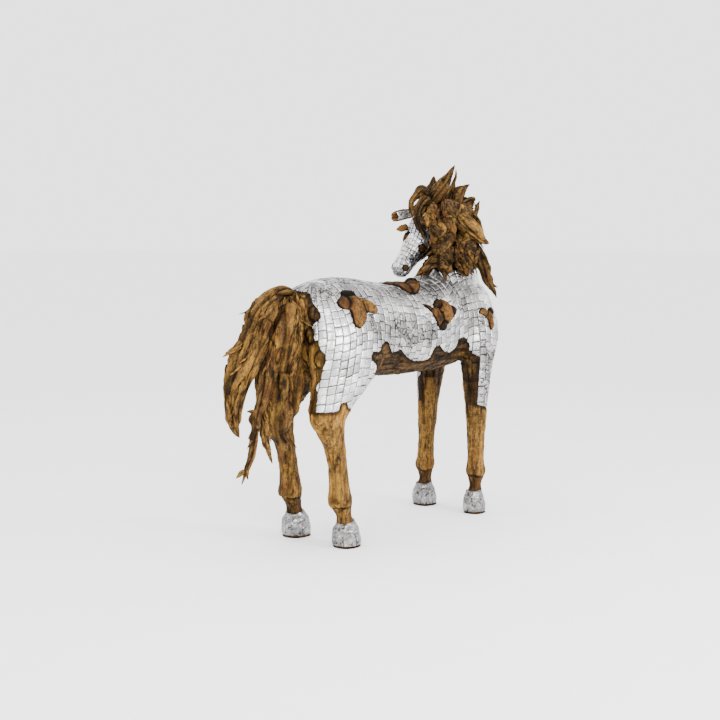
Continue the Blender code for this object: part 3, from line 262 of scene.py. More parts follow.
# Root pieces: x, y, z, half width and half thickness of each station
ROOTS = {
    "mane_core": (
        (40, 2, 113, 7, 6.5), (39, 2, 120.5, 8.5, 7.5), (38.5, 2.2, 126, 8.6, 6.5),
        (38, 2.4, 130, 6.5, 4.5), (37.6, 2.6, 132.5, 3.5, 2.5),
    ),
    "mane_slab": (
        (33.1, -6.9, 126.6, 1.7, 1.7), (32.1, -10.8, 123.2, 3.3, 2.1), (33.6, -14.4, 119.5, 3.7, 2.1),
        (36.9, -16.1, 116.8, 2.7, 1.7), (39.1, -17.5, 115.1, 1.9, 1.2), (41.3, -19, 113.9, 0.4, 0.4),
    ),
    "mane_hang_a": (
        (30.7, -7.2, 121.2, 2.1, 2.1), (27.8, -8.9, 116.2, 2.5, 2.5), (25.4, -8.2, 111.2, 3.3, 2.5),
        (25.3, -7.2, 106.2, 3.1, 2.5), (26.9, -7, 102.9, 2.1, 1.7), (28.3, -6.5, 101.2, 0.4, 0.4),
    ),
    "mane_hang_b": (
        (34.6, -10.5, 117.8, 2.1, 2.1), (32.2, -12.8, 113.3, 3.3, 2.5), (31.9, -13.6, 108.7, 3.9, 2.5),
        (32.9, -12.6, 104.5, 3.3, 2.1), (34.6, -12.6, 101.6, 1.7, 1.2), (35.7, -12.8, 100.5, 0.4, 0.4),
    ),
    "mane_hang_low": (
        (27.7, -4.8, 112, 1.7, 1.7), (23.9, -4.6, 107.5, 1.9, 1.7), (20.7, -3, 104.4, 1.7, 1.4),
        (18.5, -1.6, 102.5, 1.2, 1), (17.2, -0.1, 101, 0.2, 0.2),
    ),
    "mane_side_b": (
        (32.7, -3.5, 131.3, 2.5, 2.1), (29.3, -6.7, 126.6, 3.3, 2.5), (28.3, -8.5, 122, 3.1, 2.5),
        (27.8, -8.9, 117.4, 1.7, 1.4),
    ),
    "mane_side_a": (
        (29.1, 0.6, 130.4, 2.1, 1.7), (25.2, -3.1, 126.1, 3.1, 2.1), (23.7, -5.4, 121.1, 3.3, 2.5),
        (23.4, -6.1, 116.2, 2.7, 2.1), (23.7, -5.4, 112, 1.4, 1.2),
    ),
    "mane_side_c": (
        (38.8, -6.2, 130.5, 2.5, 2.1), (36.4, -8.6, 126.7, 3.1, 2.5), (35.6, -9.7, 122.9, 2.9, 2.1),
        (36.7, -9.9, 119.9, 1.5, 1.3),
    ),
    "mane_forelock": (
        (21.4, 3.2, 125.3, 1.7, 1.3), (20.9, 1.7, 122.4, 2.3, 1.5), (21.2, 0.4, 119.5, 1.7, 1),
        (22, -0.5, 116.3, 0.2, 0.2),
    ),
    "mane_brow_lock": (
        (28.2, 2.5, 132.6, 2.5, 1.7), (23.7, 2.6, 129.5, 2.7, 1.9), (21.8, 2.7, 126.6, 2.3, 1.7),
        (21.9, 2.6, 124.5, 1.3, 1.3),
    ),
    "mane_arch": (
        (29, 3.7, 133.5, 1.9, 1.5), (26.2, 4.7, 135.8, 1.7, 1.3), (23.7, 5.9, 134, 1.5, 1.2),
        (22.1, 6.6, 131.3, 1.3, 1.1), (21.5, 6.3, 128.5, 1.3, 1.1), (21.8, 4.9, 125.8, 1.3, 1.1),
    ),
    "mane_crown_tall": (
        (31.9, 4.4, 129.3, 2.1, 1.7), (32.5, 1.7, 133.5, 3.2, 2.1), (33.2, -1, 138.1, 2.7, 1.7),
        (34.2, -3.1, 141.4, 1.7, 1.3), (35.2, -4.2, 144.2, 0.9, 0.8), (36, -5.1, 146.3, 0.2, 0.2),
    ),
    "mane_crown_right": (
        (40.5, -1.2, 129.4, 2.1, 1.9), (41.5, -2.3, 133.2, 2.1, 1.7), (42.4, -3.2, 135.8, 1.9, 1.5),
        (44.6, -3.7, 137.3, 1.1, 0.9), (46, -5.3, 138.8, 0.2, 0.2),
    ),
    "mane_crown_wide": (
        (42.1, -1, 127.3, 3.4, 2.6), (44.4, -3.5, 130.3, 3, 2.1), (46.1, -5.4, 132.2, 1.9, 1.5),
        (47.7, -7.2, 132.8, 0.6, 0.6),
    ),
    "mane_crown_left": (
        (33.1, 7.1, 129, 2.6, 1.7), (35, 6.9, 133.3, 2.8, 1.7), (36.1, 6.7, 137.1, 2.1, 1.3),
        (36.3, 6.5, 140.1, 1.3, 0.9), (36.4, 6.4, 142.2, 0.3, 0.3),
    ),
    "mane_crown_thin": (
        (39.5, 2.9, 130.3, 1.7, 1.5), (41, 1.3, 134.6, 1.7, 1.3), (42.1, 0.1, 139, 1, 0.9),
        (42.1, -0.9, 142.2, 0.6, 0.5), (42.1, -1, 144.9, 0.2, 0.2),
    ),
    "mane_long_right": (
        (40.3, -2.9, 122.1, 1.7, 1.7), (41.3, -7, 117.4, 1.9, 1.7), (41.9, -10.7, 112, 2.3, 1.9),
        (42.8, -13.7, 106.1, 2.3, 1.7), (43.4, -16.4, 101.1, 2.1, 1.7), (44, -18, 96.9, 1.5, 1.3),
        (45.1, -19.3, 94, 1, 0.8), (45.8, -20, 91.3, 0.2, 0.2),
    ),
    "mane_stick": (
        (35.5, -13.5, 119.5, 1, 1), (37.9, -14.2, 116.2, 0.8, 0.8), (39.7, -15.2, 112.4, 0.6, 0.6),
        (41.3, -16.9, 108.6, 0.5, 0.5), (42.5, -18.3, 105.3, 0.2, 0.2),
    ),
    "mane_curl_high": (
        (43.6, -2.6, 120, 1.7, 1.3), (47, -3.4, 121.8, 1.5, 1.3), (49.1, -4.8, 124.3, 1.3, 1.1),
        (50.1, -5.9, 127.8, 0.9, 0.8), (50.6, -6.4, 130.3, 0.7, 0.6), (51.1, -7, 131.8, 0.3, 0.3),
    ),
    "mane_curl_low": (
        (41, -5.6, 128.9, 1.3, 1.3), (42.9, -7.8, 127.8, 1.3, 1.1), (44.6, -9.7, 125.5, 1.1, 0.9),
        (45.8, -11, 122.1, 0.9, 0.8), (46.3, -11.6, 119.6, 0.8, 0.6), (46.7, -12, 117.9, 0.2, 0.2),
    ),
    "mane_back_a": (
        (37.6, 10.1, 129.9, 2.1, 2.1), (41.1, 14.1, 124, 3, 2.2), (43.8, 15.1, 117.1, 3.1, 2.2),
        (45.7, 15, 111, 2.6, 1.7), (46.6, 14, 105.7, 0.9, 0.9),
    ),
    "mane_back_b": (
        (44.3, 6.6, 132.6, 2.6, 2.2), (50.1, 10.1, 125.8, 3.5, 2.2), (52.3, 10.7, 118, 3.5, 2.2),
        (53.4, 10.5, 110.1, 3.1, 1.8), (53.4, 9.4, 103.9, 0.9, 0.9),
    ),
    "mane_back_c": (
        (48.4, 0, 130, 2.6, 2.2), (52.7, 1.2, 123.1, 3, 2.2), (54.4, 1.3, 115.3, 3, 2.2),
        (54.7, 1, 108.4, 2.2, 1.7), (53.9, -0.1, 103.2, 0.7, 0.7),
    ),
    "tail_root": (
        (-59.9, -1.3, 89, 3.3, 2.6), (-64, -1.3, 79.7, 3.6, 2.9), (-67.5, -1.3, 70.1, 3.4, 2.9),
        (-70.5, -1.3, 61.3, 2.7, 2.2), (-72.7, -1.3, 55.4, 2.2, 1.8), (-74.4, -1.3, 51.3, 1.8, 1.6),
        (-75.2, -1.3, 46.7, 1.6, 1.4), (-76.4, -1.3, 41.9, 1.4, 1.2), (-77.8, -1.3, 37.4, 1.2, 1.1),
        (-79.8, -1.3, 33.4, 1, 0.9), (-82.1, -1.3, 28.1, 0.2, 0.2),
    ),
    "tail_inner": (
        (-58.8, -3.3, 92.6, 2.9, 2.2), (-61, -4, 84.4, 5.5, 3.3), (-62.4, -3.3, 73.5, 6.5, 3.6),
        (-63.1, -2, 62.5, 6.9, 3.6), (-62.7, 0, 53.2, 6.2, 3.3), (-60.1, 2.7, 45.3, 4.4, 2.6),
        (-56.1, 4.7, 39.9, 2.6, 1.9), (-52.7, 5.3, 36, 0.2, 0.2),
    ),
    "tail_middle": (
        (-68.2, 0, 87.1, 3.3, 2.2), (-70.1, 0.7, 79.2, 3.6, 2.5), (-72.4, 1.8, 72.1, 3.2, 2.2),
        (-75.2, 3.2, 65.7, 2.4, 1.8), (-77.6, 3.6, 59.8, 2.1, 1.5), (-79.4, 3.4, 54.6, 1.7, 1.3),
        (-80, 3, 49.8, 1, 0.9), (-80.5, 2.6, 47.3, 0.2, 0.2),
    ),
    "tail_outer": (
        (-54.4, 0, 96.1, 1.1, 1.1), (-60.6, 0, 95.7, 2.4, 2.2), (-64.9, 1.3, 93.1, 3.6, 2.2),
        (-68.7, 2.7, 88.1, 4.4, 2.4), (-71.4, 4, 82, 4.7, 2.5), (-73.6, 5.3, 75.5, 4.5, 2.5),
        (-76.4, 6, 68.8, 3.8, 2.2), (-79.4, 6.7, 62.2, 2.7, 1.8), (-80.4, 6.7, 56.2, 2.2, 1.6),
        (-79.4, 6.7, 50.3, 1.8, 1.4), (-77.3, 6.7, 45.8, 1.1, 0.9), (-75.8, 6.7, 43.6, 0.2, 0.2),
    ),
    "tail_spur": (
        (-75.6, 5.3, 78.5, 1.3, 1.1), (-80.1, 4.7, 76.2, 0.9, 0.8), (-83.3, 4, 75, 0.6, 0.5),
        (-85.6, 4, 74.1, 0.2, 0.2),
    ),
    "tail_spike": (
        (-72, -1.3, 55.7, 1.3, 1.1), (-70.9, -1, 50.2, 1.4, 1.3), (-69.9, -0.7, 45, 1.6, 1.3),
        (-68.2, 0, 40.4, 1.1, 0.9), (-64.9, 2, 36.1, 0.7, 0.6), (-63.8, 2, 33, 0.2, 0.2),
    ),
}
# Branches of the roots: the root and the branch's stations
BRANCHES = (
    ("tail_root", (
        (-80.4, -1.3, 33, 0.9, 0.8), (-82.2, -0.6, 31.6, 0.7, 0.6), (-83.4, 0.2, 30.4, 0.2, 0.2),
    )),
    ("tail_root", (
        (-79.9, -1.5, 33.2, 0.8, 0.7), (-80.4, -2.3, 31.5, 0.6, 0.5), (-80.6, -2.9, 30, 0.2, 0.2),
    )),
    ("tail_root", (
        (-74.4, -1, 53.4, 2.3, 2), (-74.9, -1.2, 50.6, 2, 1.8), (-75, -1.3, 47.6, 1, 0.9),
    )),
    ("tail_root", (
        (-74.6, -0.8, 52.4, 1.2, 1), (-76, -0.2, 53.6, 0.8, 0.7), (-77.6, 0.5, 53.8, 0.2, 0.2),
    )),
    ("mane_long_right", (
        (43.8, -17.4, 98, 0.9, 0.8), (45, -18.9, 96.5, 0.6, 0.5), (46, -20.2, 95.6, 0.2, 0.2),
    )),
    ("tail_outer", (
        (-79.6, 6.7, 49.6, 1.2, 1), (-78.6, 6.6, 46.6, 1, 0.8), (-76.4, 6.4, 45.2, 0.3, 0.3),
    )),
)
EAR = (
    (30.3, 12.2, 126.6, 1.3, 0.9), (28, 13.3, 126.4, 1.8, 0.9), (25.5, 14.5, 126, 2, 0.8),
    (23, 15.8, 125.3, 2, 0.6), (21.5, 16.4, 125.1, 1.3, 0.4), (20.9, 16.6, 125.1, 0.3, 0.2),
)
BROW_LEAF = (
    (25.4, 11.7, 121.3, 1.1, 0.8), (23.4, 11.9, 120.6, 1.4, 0.8), (21.9, 12.6, 120.1, 1.3, 0.7),
    (20.3, 13.3, 119.8, 0.3, 0.3),
)
EYE_WEDGE = (
    (23.9, 9.3, 118.9, 0.4, 0.6), (23.6, 10.2, 117.4, 1.1, 0.9), (23.3, 11, 115.8, 1.1, 0.9),
    (23.1, 11.7, 113.6, 0.3, 0.3),
)
# Studs: name, centre, the way they stand, radius, height
KNOBS = (
    ("eye_near", (24.5, 3.2, 111.8), (-0.17, -0.98, -0.11), 1.6, 1),
    ("nostril_near", (15.3, 4.3, 103.9), (-0.48, -0.88, 0.05), 1.15, 0.8),
    ("nostril_far", (15.6, 11, 104.4), (-0.74, 0.62, 0.2), 1.2, 0.6),
)
X_WAY, Y_WAY, Z_WAY = np.eye(3)


# Numbers


def scramble(places, seed):
    """A number from 0 to 1 for every whole-number place."""
    x, y, z = (places[..., i].astype(np.int64) for i in range(3))
    mixed = (x * 73856093) ^ (y * 19349663) ^ (z * 83492791) ^ (seed * 2654435761)
    mixed &= 0xFFFFFFFF
    for _ in range(2):
        mixed = (((mixed >> 16) ^ mixed) * 0x45D9F3B) & 0xFFFFFFFF
    return (((mixed >> 16) ^ mixed) & 0xFFFFFFFF) / 0xFFFFFFFF


def noise(points, seed=0):
    """Smooth noise from -1 to 1, one wave to each unit."""
    points = np.asarray(points, float)
    cell = np.floor(points)
    share = points - cell
    share = share * share * (3 - 2 * share)
    total = np.zeros(points.shape[:-1])
    for corner in itertools.product((0, 1), repeat=3):
        weight = np.prod(np.where(np.array(corner) == 1, share, 1 - share), axis=-1)
        total += weight * scramble(cell + corner, seed)
    return total * 2 - 1


def fold(points, seed=0):
    """Noise with sharp crests, from -1 in the valleys to 1 on the crests."""
    return 1 - 2 * np.abs(noise(points, seed)) ** 0.8


def cells(points, seed=0):
    """Distance to the nearest centre and to the next of scattered centres, and its number."""
    base = np.floor(points)
    nearest = np.full(points.shape[:-1], 9.0)
    second = nearest.copy()
    number = np.zeros_like(nearest)
    for corner in itertools.product((-1, 0, 1), repeat=3):
        cell = base + corner
        centre = cell + np.stack([scramble(cell, seed + i) for i in range(3)], axis=-1)
        away = np.linalg.norm(points - centre, axis=-1)
        closer = away < nearest
        second = np.where(closer, nearest, np.minimum(second, away))
        number = np.where(closer, scramble(cell, seed + 7), number)
        nearest = np.where(closer, away, nearest)
    return nearest, second, number


def ease(low, high, value):
    """0 at low to 1 at high; low may be the greater."""
    share = np.clip((value - low) / (high - low), 0, 1)
    return share * share * (3 - 2 * share)


def bell(value):
    """1 at 0, falling away to both sides."""
    return np.exp(-(value**2))


def spline(stations, steps, closed=False):
    """The stations with steps - 1 more between each two, on a smooth curve through them all."""
    rows = [np.array(station, float) for station in stations]
    rows = [rows[-1], *rows, *rows[:2]] if closed else [rows[0], *rows, rows[-1]]
    found = []
    for a, b, c, d in zip(rows, rows[1:], rows[2:], rows[3:]):
        for t in (step / steps for step in range(steps)):
            found.append(
                0.5 * (2 * b + (c - a) * t + (2 * a - 5 * b + 4 * c - d) * t**2
                       + (3 * b - a - 3 * c + d) * t**3)
            )
    return np.array(found if closed else [*found, rows[-1]])


def unit(vectors):
    vectors = np.asarray(vectors, float)
    return vectors / np.maximum(np.linalg.norm(vectors, axis=-1, keepdims=True), 1e-9)


def lengths(points):
    """How far along a line each of its points is."""
    steps = np.linalg.norm(np.diff(points, axis=0), axis=1)
    return np.concatenate([[0], np.cumsum(steps)])


def depth_inside(outline, u, v):
    """How far each point is inside an outline; negative outside."""
    nearest = np.full(u.shape, 1e9)
    crossings = np.zeros(u.shape, int)
    for (au, av), (bu, bv) in zip(outline, np.roll(outline, -1, axis=0)):
        du, dv = bu - au, bv - av
        t = np.clip(((u - au) * du + (v - av) * dv) / max(du * du + dv * dv, 1e-9), 0, 1)
        nearest = np.minimum(nearest, np.hypot(u - au - t * du, v - av - t * dv))
        if dv != 0:
            crossings += ((av > v) != (bv > v)) & (u < au + (v - av) * du / dv)
    return np.where(crossings % 2 == 1, nearest, -nearest)


def round_angles(sides):
    """Angles, cosines and sines of a ring's points."""
    angle = 2 * np.pi * np.arange(sides) / sides
    return angle, np.cos(angle), np.sin(angle)


# The figure's own frame

fore_low, fore_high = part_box("sole_fore_right")
STEP = np.array([
    (fore_low.x + fore_high.x) / 2 - FORE_RIGHT_X * PERCENT,
    (fore_low.y + fore_high.y) / 2 + LEG_SPREAD * PERCENT,
    0.0,
])
FORWARD = unit(HEAD_FORWARD)
DORSAL = np.array(HEAD_DORSAL)
DORSAL = unit(DORSAL - FORWARD * DORSAL.dot(FORWARD))
LEFT = np.cross(DORSAL, FORWARD)


def place(points):
    """Percent to metres."""
    return np.asarray(points, float) * PERCENT + STEP


def percent(points):
    """Metres to percent."""
    return (points - STEP) / PERCENT


# Meshes


def link(name, data):
    obj = bpy.data.objects.new(name, data)
    bpy.context.scene.collection.objects.link(obj)
    return obj


def make(name, points, faces, flat=None, **fields):
    """A mesh object; each field has a value for each point, or one for all."""
    points = np.asarray(points, float).reshape(-1, 3)
    mesh = bpy.data.meshes.new(name)
    mesh.from_pydata(points.tolist(), [], faces)
    for field, values in fields.items():
        values = np.asarray(values, np.float32).ravel()
        if values.size == 1:
            values = values.repeat(len(points))
        kind, key = ("FLOAT_VECTOR", "vector") if field == "grain" else ("FLOAT", "value")
        mesh.attributes.new(field, kind, "POINT").data.foreach_set(key, values)
    smooth = np.ones(len(mesh.polygons), bool) if flat is None else ~np.asarray(flat)
    mesh.polygons.foreach_set("use_smooth", smooth)
    mesh.validate()
    mesh.update()
    return link(name, mesh)


def piece(name, points, faces, look, node, flat=None, **fields):
    """A mesh object that stands for a solid of the part; look is its material and a slot name, which is not
    used.
    """
    obj = make(name, points, faces, flat, **fields)
    obj.data.materials.append(look[0])
    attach(obj, "root")
    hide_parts(node)


def grid_faces(rows, columns, start=0, wrap=False):
    """Quads over rows of points; wrap closes each row to a ring."""
    index = start + np.arange(rows * columns).reshape(rows, columns)
    if wrap:
        index = np.concatenate([index, index[:, :1]], axis=1)
    corners = index[:-1, :-1], index[:-1, 1:], index[1:, 1:], index[1:, :-1]
    return [tuple(face) for face in np.stack(corners, axis=-1).reshape(-1, 4).tolist()]


def tube_faces(rows, columns, start=0):
    """A closed tube through rings of points."""
    last = start + (rows - 1) * columns
    ends = [tuple(reversed(range(start, start + columns))), tuple(range(last, last + columns))]
    return grid_faces(rows, columns, start, wrap=True) + ends


def oval_ring(centre, across, up, sizes, sides, squareness=2.2):
    """A rounded ring; sizes are its half width and its reach up and down, in percent."""
    width, above, below = (size * PERCENT for size in sizes)
    _, c, s = round_angles(sides)
    wide = width * np.sign(c) * np.abs(c) ** (2 / squareness)
    high = np.where(s > 0, above, below) * np.sign(s) * np.abs(s) ** (2 / squareness)
    return centre + wide[:, None] * across + high[:, None] * up


def joined(parts):
    """One set of points, faces and fields from those of several parts."""
    starts = np.cumsum([0] + [len(part[0]) for part in parts]).tolist()
    faces = [tuple(start + i for i in face) for start, part in zip(starts, parts) for face in part[1]]
    fields = {key: np.concatenate([part[2][key] for part in parts]) for key in parts[0][2]}
    return np.concatenate([part[0] for part in parts]), faces, fields


def spine_ways(centres, face):
    """Along, across and out of a line of centres whose broad side shows to face."""
    along = unit(np.gradient(centres, axis=0))
    across = unit(np.cross(along, np.array(face)))
    return along, across, np.cross(across, along)


def read(values, key):
    """A mesh's points or normals as an array."""
    found = np.empty(len(values) * 3)
    values.foreach_get(key, found)
    return found.reshape(-1, 3)


def tree_of(points, faces):
    return BVHTree.FromPolygons([tuple(p) for p in points], faces)


# The body's form


def trunk_rings():
    for x, top, bottom, width in spline(TRUNK, 3):
        middle = bottom + 0.46 * (top - bottom)
        sizes = width, top - middle, middle - bottom
        yield oval_ring(place((x, 0, middle)), Y_WAY, Z_WAY, sizes, 48)


def leg_rings(stations, side, lean=0.0):
    for z, x, y, length, width in spline(stations, 4):
        centre = place((x + max(LEAN_MOST, lean * (z - LEAN_FROM)), side * y, z))
        yield oval_ring(centre, X_WAY, Y_WAY, (length, width, width), 32)


def neck_rings():
    stations = spline(NECK, 4)
    centres = place(stations[:, :3])
    last = len(centres) - 1
    for i, (depth, width) in enumerate(stations[:, 3:]):
        tangent = unit(centres[min(i + 1, last)] - centres[max(i - 1, 0)])
        share = (i / last) ** 1.5
        dorsal = np.array(NECK_DORSAL) * (1 - share) + DORSAL * share
        dorsal = unit(dorsal - tangent * dorsal.dot(tangent))
        yield oval_ring(centres[i], np.cross(dorsal, tangent), dorsal, (width, depth, depth), 40)


def head_rings():
    for s, above, below, width in spline(HEAD, 5):
        yield oval_ring(place(POLL + FORWARD * s), LEFT, DORSAL, (width, above, below), 48, 2.3)


def skin(lofts, voxel, rounds):
    """One smooth skin over several lofts: its points, normals, faces and search tree."""
    points, faces = [], []
    for rings in lofts:
        rings = list(rings)
        faces += tube_faces(len(rings), len(rings[0]), sum(len(p) for p in points))
        points += rings
    obj = make("lofts", np.concatenate(points), faces)
    remesh = obj.modifiers.new("one skin", "REMESH")
    remesh.mode = "VOXEL"
    remesh.voxel_size = voxel
    smooth = obj.modifiers.new("worn", "SMOOTH")
    smooth.iterations = rounds
    smooth.factor = 0.5
    graph = bpy.context.evaluated_depsgraph_get()
    mesh = bpy.data.meshes.new_from_object(obj.evaluated_get(graph))
    points, faces = read(mesh.vertices, "co"), [tuple(f.vertices) for f in mesh.polygons]
    found = points, read(mesh.vertex_normals, "vector"), faces, tree_of(points, faces)
    bpy.data.objects.remove(obj)
    return found


LEGS = (HIND_LEG, -1), (HIND_LEG, 1), (FORE_LEG, -1), (FORE_LEG, 1, LEFT_FORE_LEAN)
body_points, body_normals, body_faces, body_tree = skin(
    [trunk_rings(), neck_rings()] + [leg_rings(*leg) for leg in LEGS], SKIN_VOXEL, 14
)
head_points, head_normals, head_faces, head_tree = skin([head_rings()], HEAD_VOXEL, 8)
UPPER_EDGE, HAUNCH_EDGE, FOREARM_EDGE, HEAD_EDGE = (
    spline(outline, 4, closed=True)
    for outline in (PLATED_UPPER, PLATED_HAUNCH, PLATED_FOREARM, PLATED_HEAD)
)


def plated_depth(points):
    """How far in percent points of the body, in metres, are inside the plating."""
    x, y, z = percent(points).T
    haunch = np.minimum(depth_inside(HAUNCH_EDGE, x, z), np.abs(y) - HAUNCH_OUT)
    forearm = np.minimum(depth_inside(FOREARM_EDGE, x, z), np.abs(y) - FOREARM_OUT)
    behind = ease(-44, -50, x)
    limit = np.where(y < 0, 1.0, 0.93) * np.interp(z, *np.array(REAR_EDGE).T) * behind
    both = np.maximum(depth_inside(UPPER_EDGE, x, z), haunch)
    both = np.where(behind > 0, np.minimum(both, np.abs(y) - limit), both)
    return np.maximum(both, forearm)


def plated_head_depth(points):
    away = percent(points) - POLL
    return depth_inside(HEAD_EDGE, away @ FORWARD, away @ DORSAL)


# Materials


class Nodes:
    """A short way to write a node material."""

    def __init__(self, name):
        self.material = bpy.data.materials.new(name)
        self.material.use_nodes = True
        self.tree = self.material.node_tree
        self.spot = self.add("TexCoord").outputs["Object"]

    def add(self, kind, settings=None, **inputs):
        """A node with its inputs by name, or by number as i0, i1 and so on."""
        node = self.tree.nodes.new("ShaderNode" + kind)
        for key, value in (settings or {}).items():
            setattr(node, key, value)
        for key, value in inputs.items():
            self.feed(node.inputs[int(key[1:]) if key[1:].isdigit() else key], value)
        return node

    def feed(self, socket, value):
        if isinstance(value, bpy.types.NodeSocket):
            self.tree.links.new(value, socket)
        elif socket.type == "RGBA":
            socket.default_value = (*value, 1.0)
        else:
            socket.default_value = value

    def math(self, operation, first, second=0.0):
        return self.add("Math", {"operation": operation}, i0=first, i1=second).outputs[0]

    def plus(self, first, second):
        return self.math("ADD", first, second)

    def times(self, first, second):
        return self.math("MULTIPLY", first, second)

    def field(self, name, output="Fac"):
        return self.add("Attribute", {"attribute_name": name}).outputs[output]

    def blend(self, share, first, second, how="MIX"):
        settings = {"data_type": "RGBA", "blend_type": how}
        return self.add("Mix", settings, i0=share, i6=first, i7=second).outputs[2]

    def noise(self, vector, scale, detail=3.0, rough=0.55, distortion=0.0, output=0):
        return self.add(
            "TexNoise", None, Vector=vector, Scale=scale, Detail=detail, Roughness=rough,
            Distortion=distortion,
        ).outputs[output]

    def cells(self, vector, scale, dimensions="2D"):
        settings = {"feature": "F1", "voronoi_dimensions": dimensions}
        return self.add("TexVoronoi", settings, Vector=vector, Scale=scale).outputs["Distance"]

    def ramp(self, value, *stops):
        node = self.add("ValToRGB", None, Fac=value)
        line = node.color_ramp
        while len(line.elements) < len(stops):
            line.elements.new(0.5)
        for element, (at, colour) in zip(line.elements, stops):
            element.position = at
            element.color = (*colour, 1.0) if hasattr(colour, "__len__") else (colour,) * 3 + (1.0,)
        return node.outputs[0]

    def finish(self, height=None, bump=0.0, deep=0.0, **inputs):
        """The material, with its bump from height."""
        if height:
            node = self.add("Bump", None, Strength=bump, Distance=deep, Height=height)
            inputs["Normal"] = node.outputs[0]
        for key, value in inputs.items():
            self.feed(self.tree.nodes["Principled BSDF"].inputs[key.replace("_", " ")], value)
        return self.material


def wood(name, dark, middle, light, red):
    """Root wood: streaks and fibres along the grain, knots, painted shade in the crevices and painted
    highlight on the oiled crests.
    """
    n = Nodes(name)
    grain, tone, tint = n.field("grain", "Vector"), n.field("tone"), n.field("tint")
    broad = n.noise(grain, 26.0, 4.0, 0.62, 1.4)
    streak = n.noise(grain, 75.0, 4.0, 0.6, 1.0)
    fibre = n.noise(grain, 210.0, 3.0, 0.6)
    mottle = n.noise(n.spot, 75.0, 5.0, 0.68, 0.5)
    mixed = n.plus(n.times(broad, 0.30), n.times(streak, 0.35))
    mixed = n.plus(mixed, n.times(mottle, 0.45))
    shift = n.ramp(tint, (0.0, 0.0), (0.62, 0.062), (1.0, 0.130))
    mixed = n.plus(mixed, n.math("SUBTRACT", shift, 0.085))
    colour = n.ramp(mixed, (0.41, dark), (0.49, middle), (0.57, light), (0.70, light))
    ruddy = n.ramp(n.noise(n.spot, 8.0, 2.0), (0.50, 0.0), (0.66, 1.0))
    colour = n.blend(n.times(ruddy, 0.55), colour, red)
    knot = n.cells(n.spot, 10.0, "3D")
    # Painted shade: ambient occlusion darkens the wood's colour in its crevices.
    crevice_shade = n.add("AmbientOcclusion", {"samples": 4}, Distance=CREVICE_SHADE).outputs["AO"]
    for share, value, *stops in (
        (0.8, fibre, (0.30, 0.55), (0.62, 1.15)),
        (1.0, tint, (0.0, 0.42), (0.5, 0.85), (1.0, 1.30)),
        # Painted shade and highlight: the tone field darkens the colour in the carved hollows and lightens
        # it on the crests.
        (1.0, tone, (0.0, 0.04), (0.30, 0.30), (0.60, 0.95), (1.0, 1.55)),
        (0.85, knot, (0.05, 0.35), (0.11, 0.8), (0.14, 0.60), (0.20, 1.0)),
        (1.0, crevice_shade, (0.15, 0.12), (0.50, 0.62), (0.80, 1.0)),
    ):
        colour = n.blend(share, colour, n.ramp(value, *stops), "MULTIPLY")
    height = n.plus(n.times(streak, 0.6), n.times(fibre, 0.4))
    gloss = n.ramp(streak, (0.3, 0.68), (0.7, 0.46))
    return n.finish(height, 0.8, 0.005, Base_Color=colour, Roughness=gloss, Specular_IOR_Level=0.05)


def silver(name):
    """Hammered metal: dents, engraved curls, punched dots and a dark patina in the low places."""
    n = Nodes(name)
    tone, tint, worn, chart = n.field("tone"), n.field("tint"), n.field("worn"), n.field("grain", "Vector")
    cloud = n.noise(n.spot, 13.0, 4.0, 0.65)
    greys = n.ramp(tint, *((i / 2, grey) for i, grey in enumerate(METAL_GREYS)))
    colour = n.blend(1.0, greys, n.ramp(cloud, (0.34, 0.70), (0.60, 1.06)), "MULTIPLY")
    bend = n.noise(chart, 40.0, 1.0, 0.5, output="Color")
    bend = n.add("VectorMath", {"operation": "SCALE"}, i0=bend, i3=0.020).outputs[0]
    bent = n.add("VectorMath", {"operation": "ADD"}, i0=chart, i1=bend).outputs[0]
    ring = n.math("ABSOLUTE", n.math("SUBTRACT", n.cells(bent, 23.0), 0.32))
    ring = n.ramp(ring, (0.06, 1.0), (0.11, 0.0))
    broken = n.ramp(n.noise(n.spot, 20.0, 2.0, 0.5), (0.47, 0.0), (0.51, 1.0))
    curls = n.times(n.times(ring, n.ramp(worn, (0.56, 0.0), (0.66, 1.0))), broken)
    some = n.ramp(n.noise(n.spot, 16.0, 3.0, 0.6), (0.42, 0.0), (0.52, 1.0))
    some = n.times(n.ramp(worn, (0.15, 0.0), (0.6, 1.0)), some)
    dots = n.times(n.ramp(n.cells(bent, 66.0), (0.19, 1.0), (0.31, 0.0)), some)
    soot = n.ramp(n.noise(n.spot, 95.0, 3.0, 0.6), (0.42, 0.0), (0.60, 1.0))
    soot = n.times(soot, n.ramp(worn, (0.45, 0.0), (1.0, 0.30)))
    marks = curls
    for more in (n.times(dots, 0.85), soot, n.ramp(tone, (0.0, 1.0), (0.35, 0.75), (0.60, 0.0))):
        marks = n.math("MAXIMUM", marks, more)
    colour = n.blend(n.times(marks, 0.94), colour, METAL_DIRT)
    rough = n.plus(n.ramp(cloud, (0.3, 0.26), (0.7, 0.42)), n.times(marks, 0.3))
    height = n.math("SUBTRACT", n.noise(n.spot, 70.0, 2.0, 0.5), n.times(marks, 0.5))
    return n.finish(height, 0.7, 0.004, Base_Color=colour, Roughness=rough, Metallic=1.0)


# Looks: a material and the slot of the record that it belongs to
WOOD = wood("root wood", *WOOD_COLOURS), "root_wood"
PATCH_WOOD = wood("patch wood", *PATCH_WOOD_COLOURS), "dark_wood"
METAL = silver("hammered metal"), "metal_plate"


# The carved wood of the body


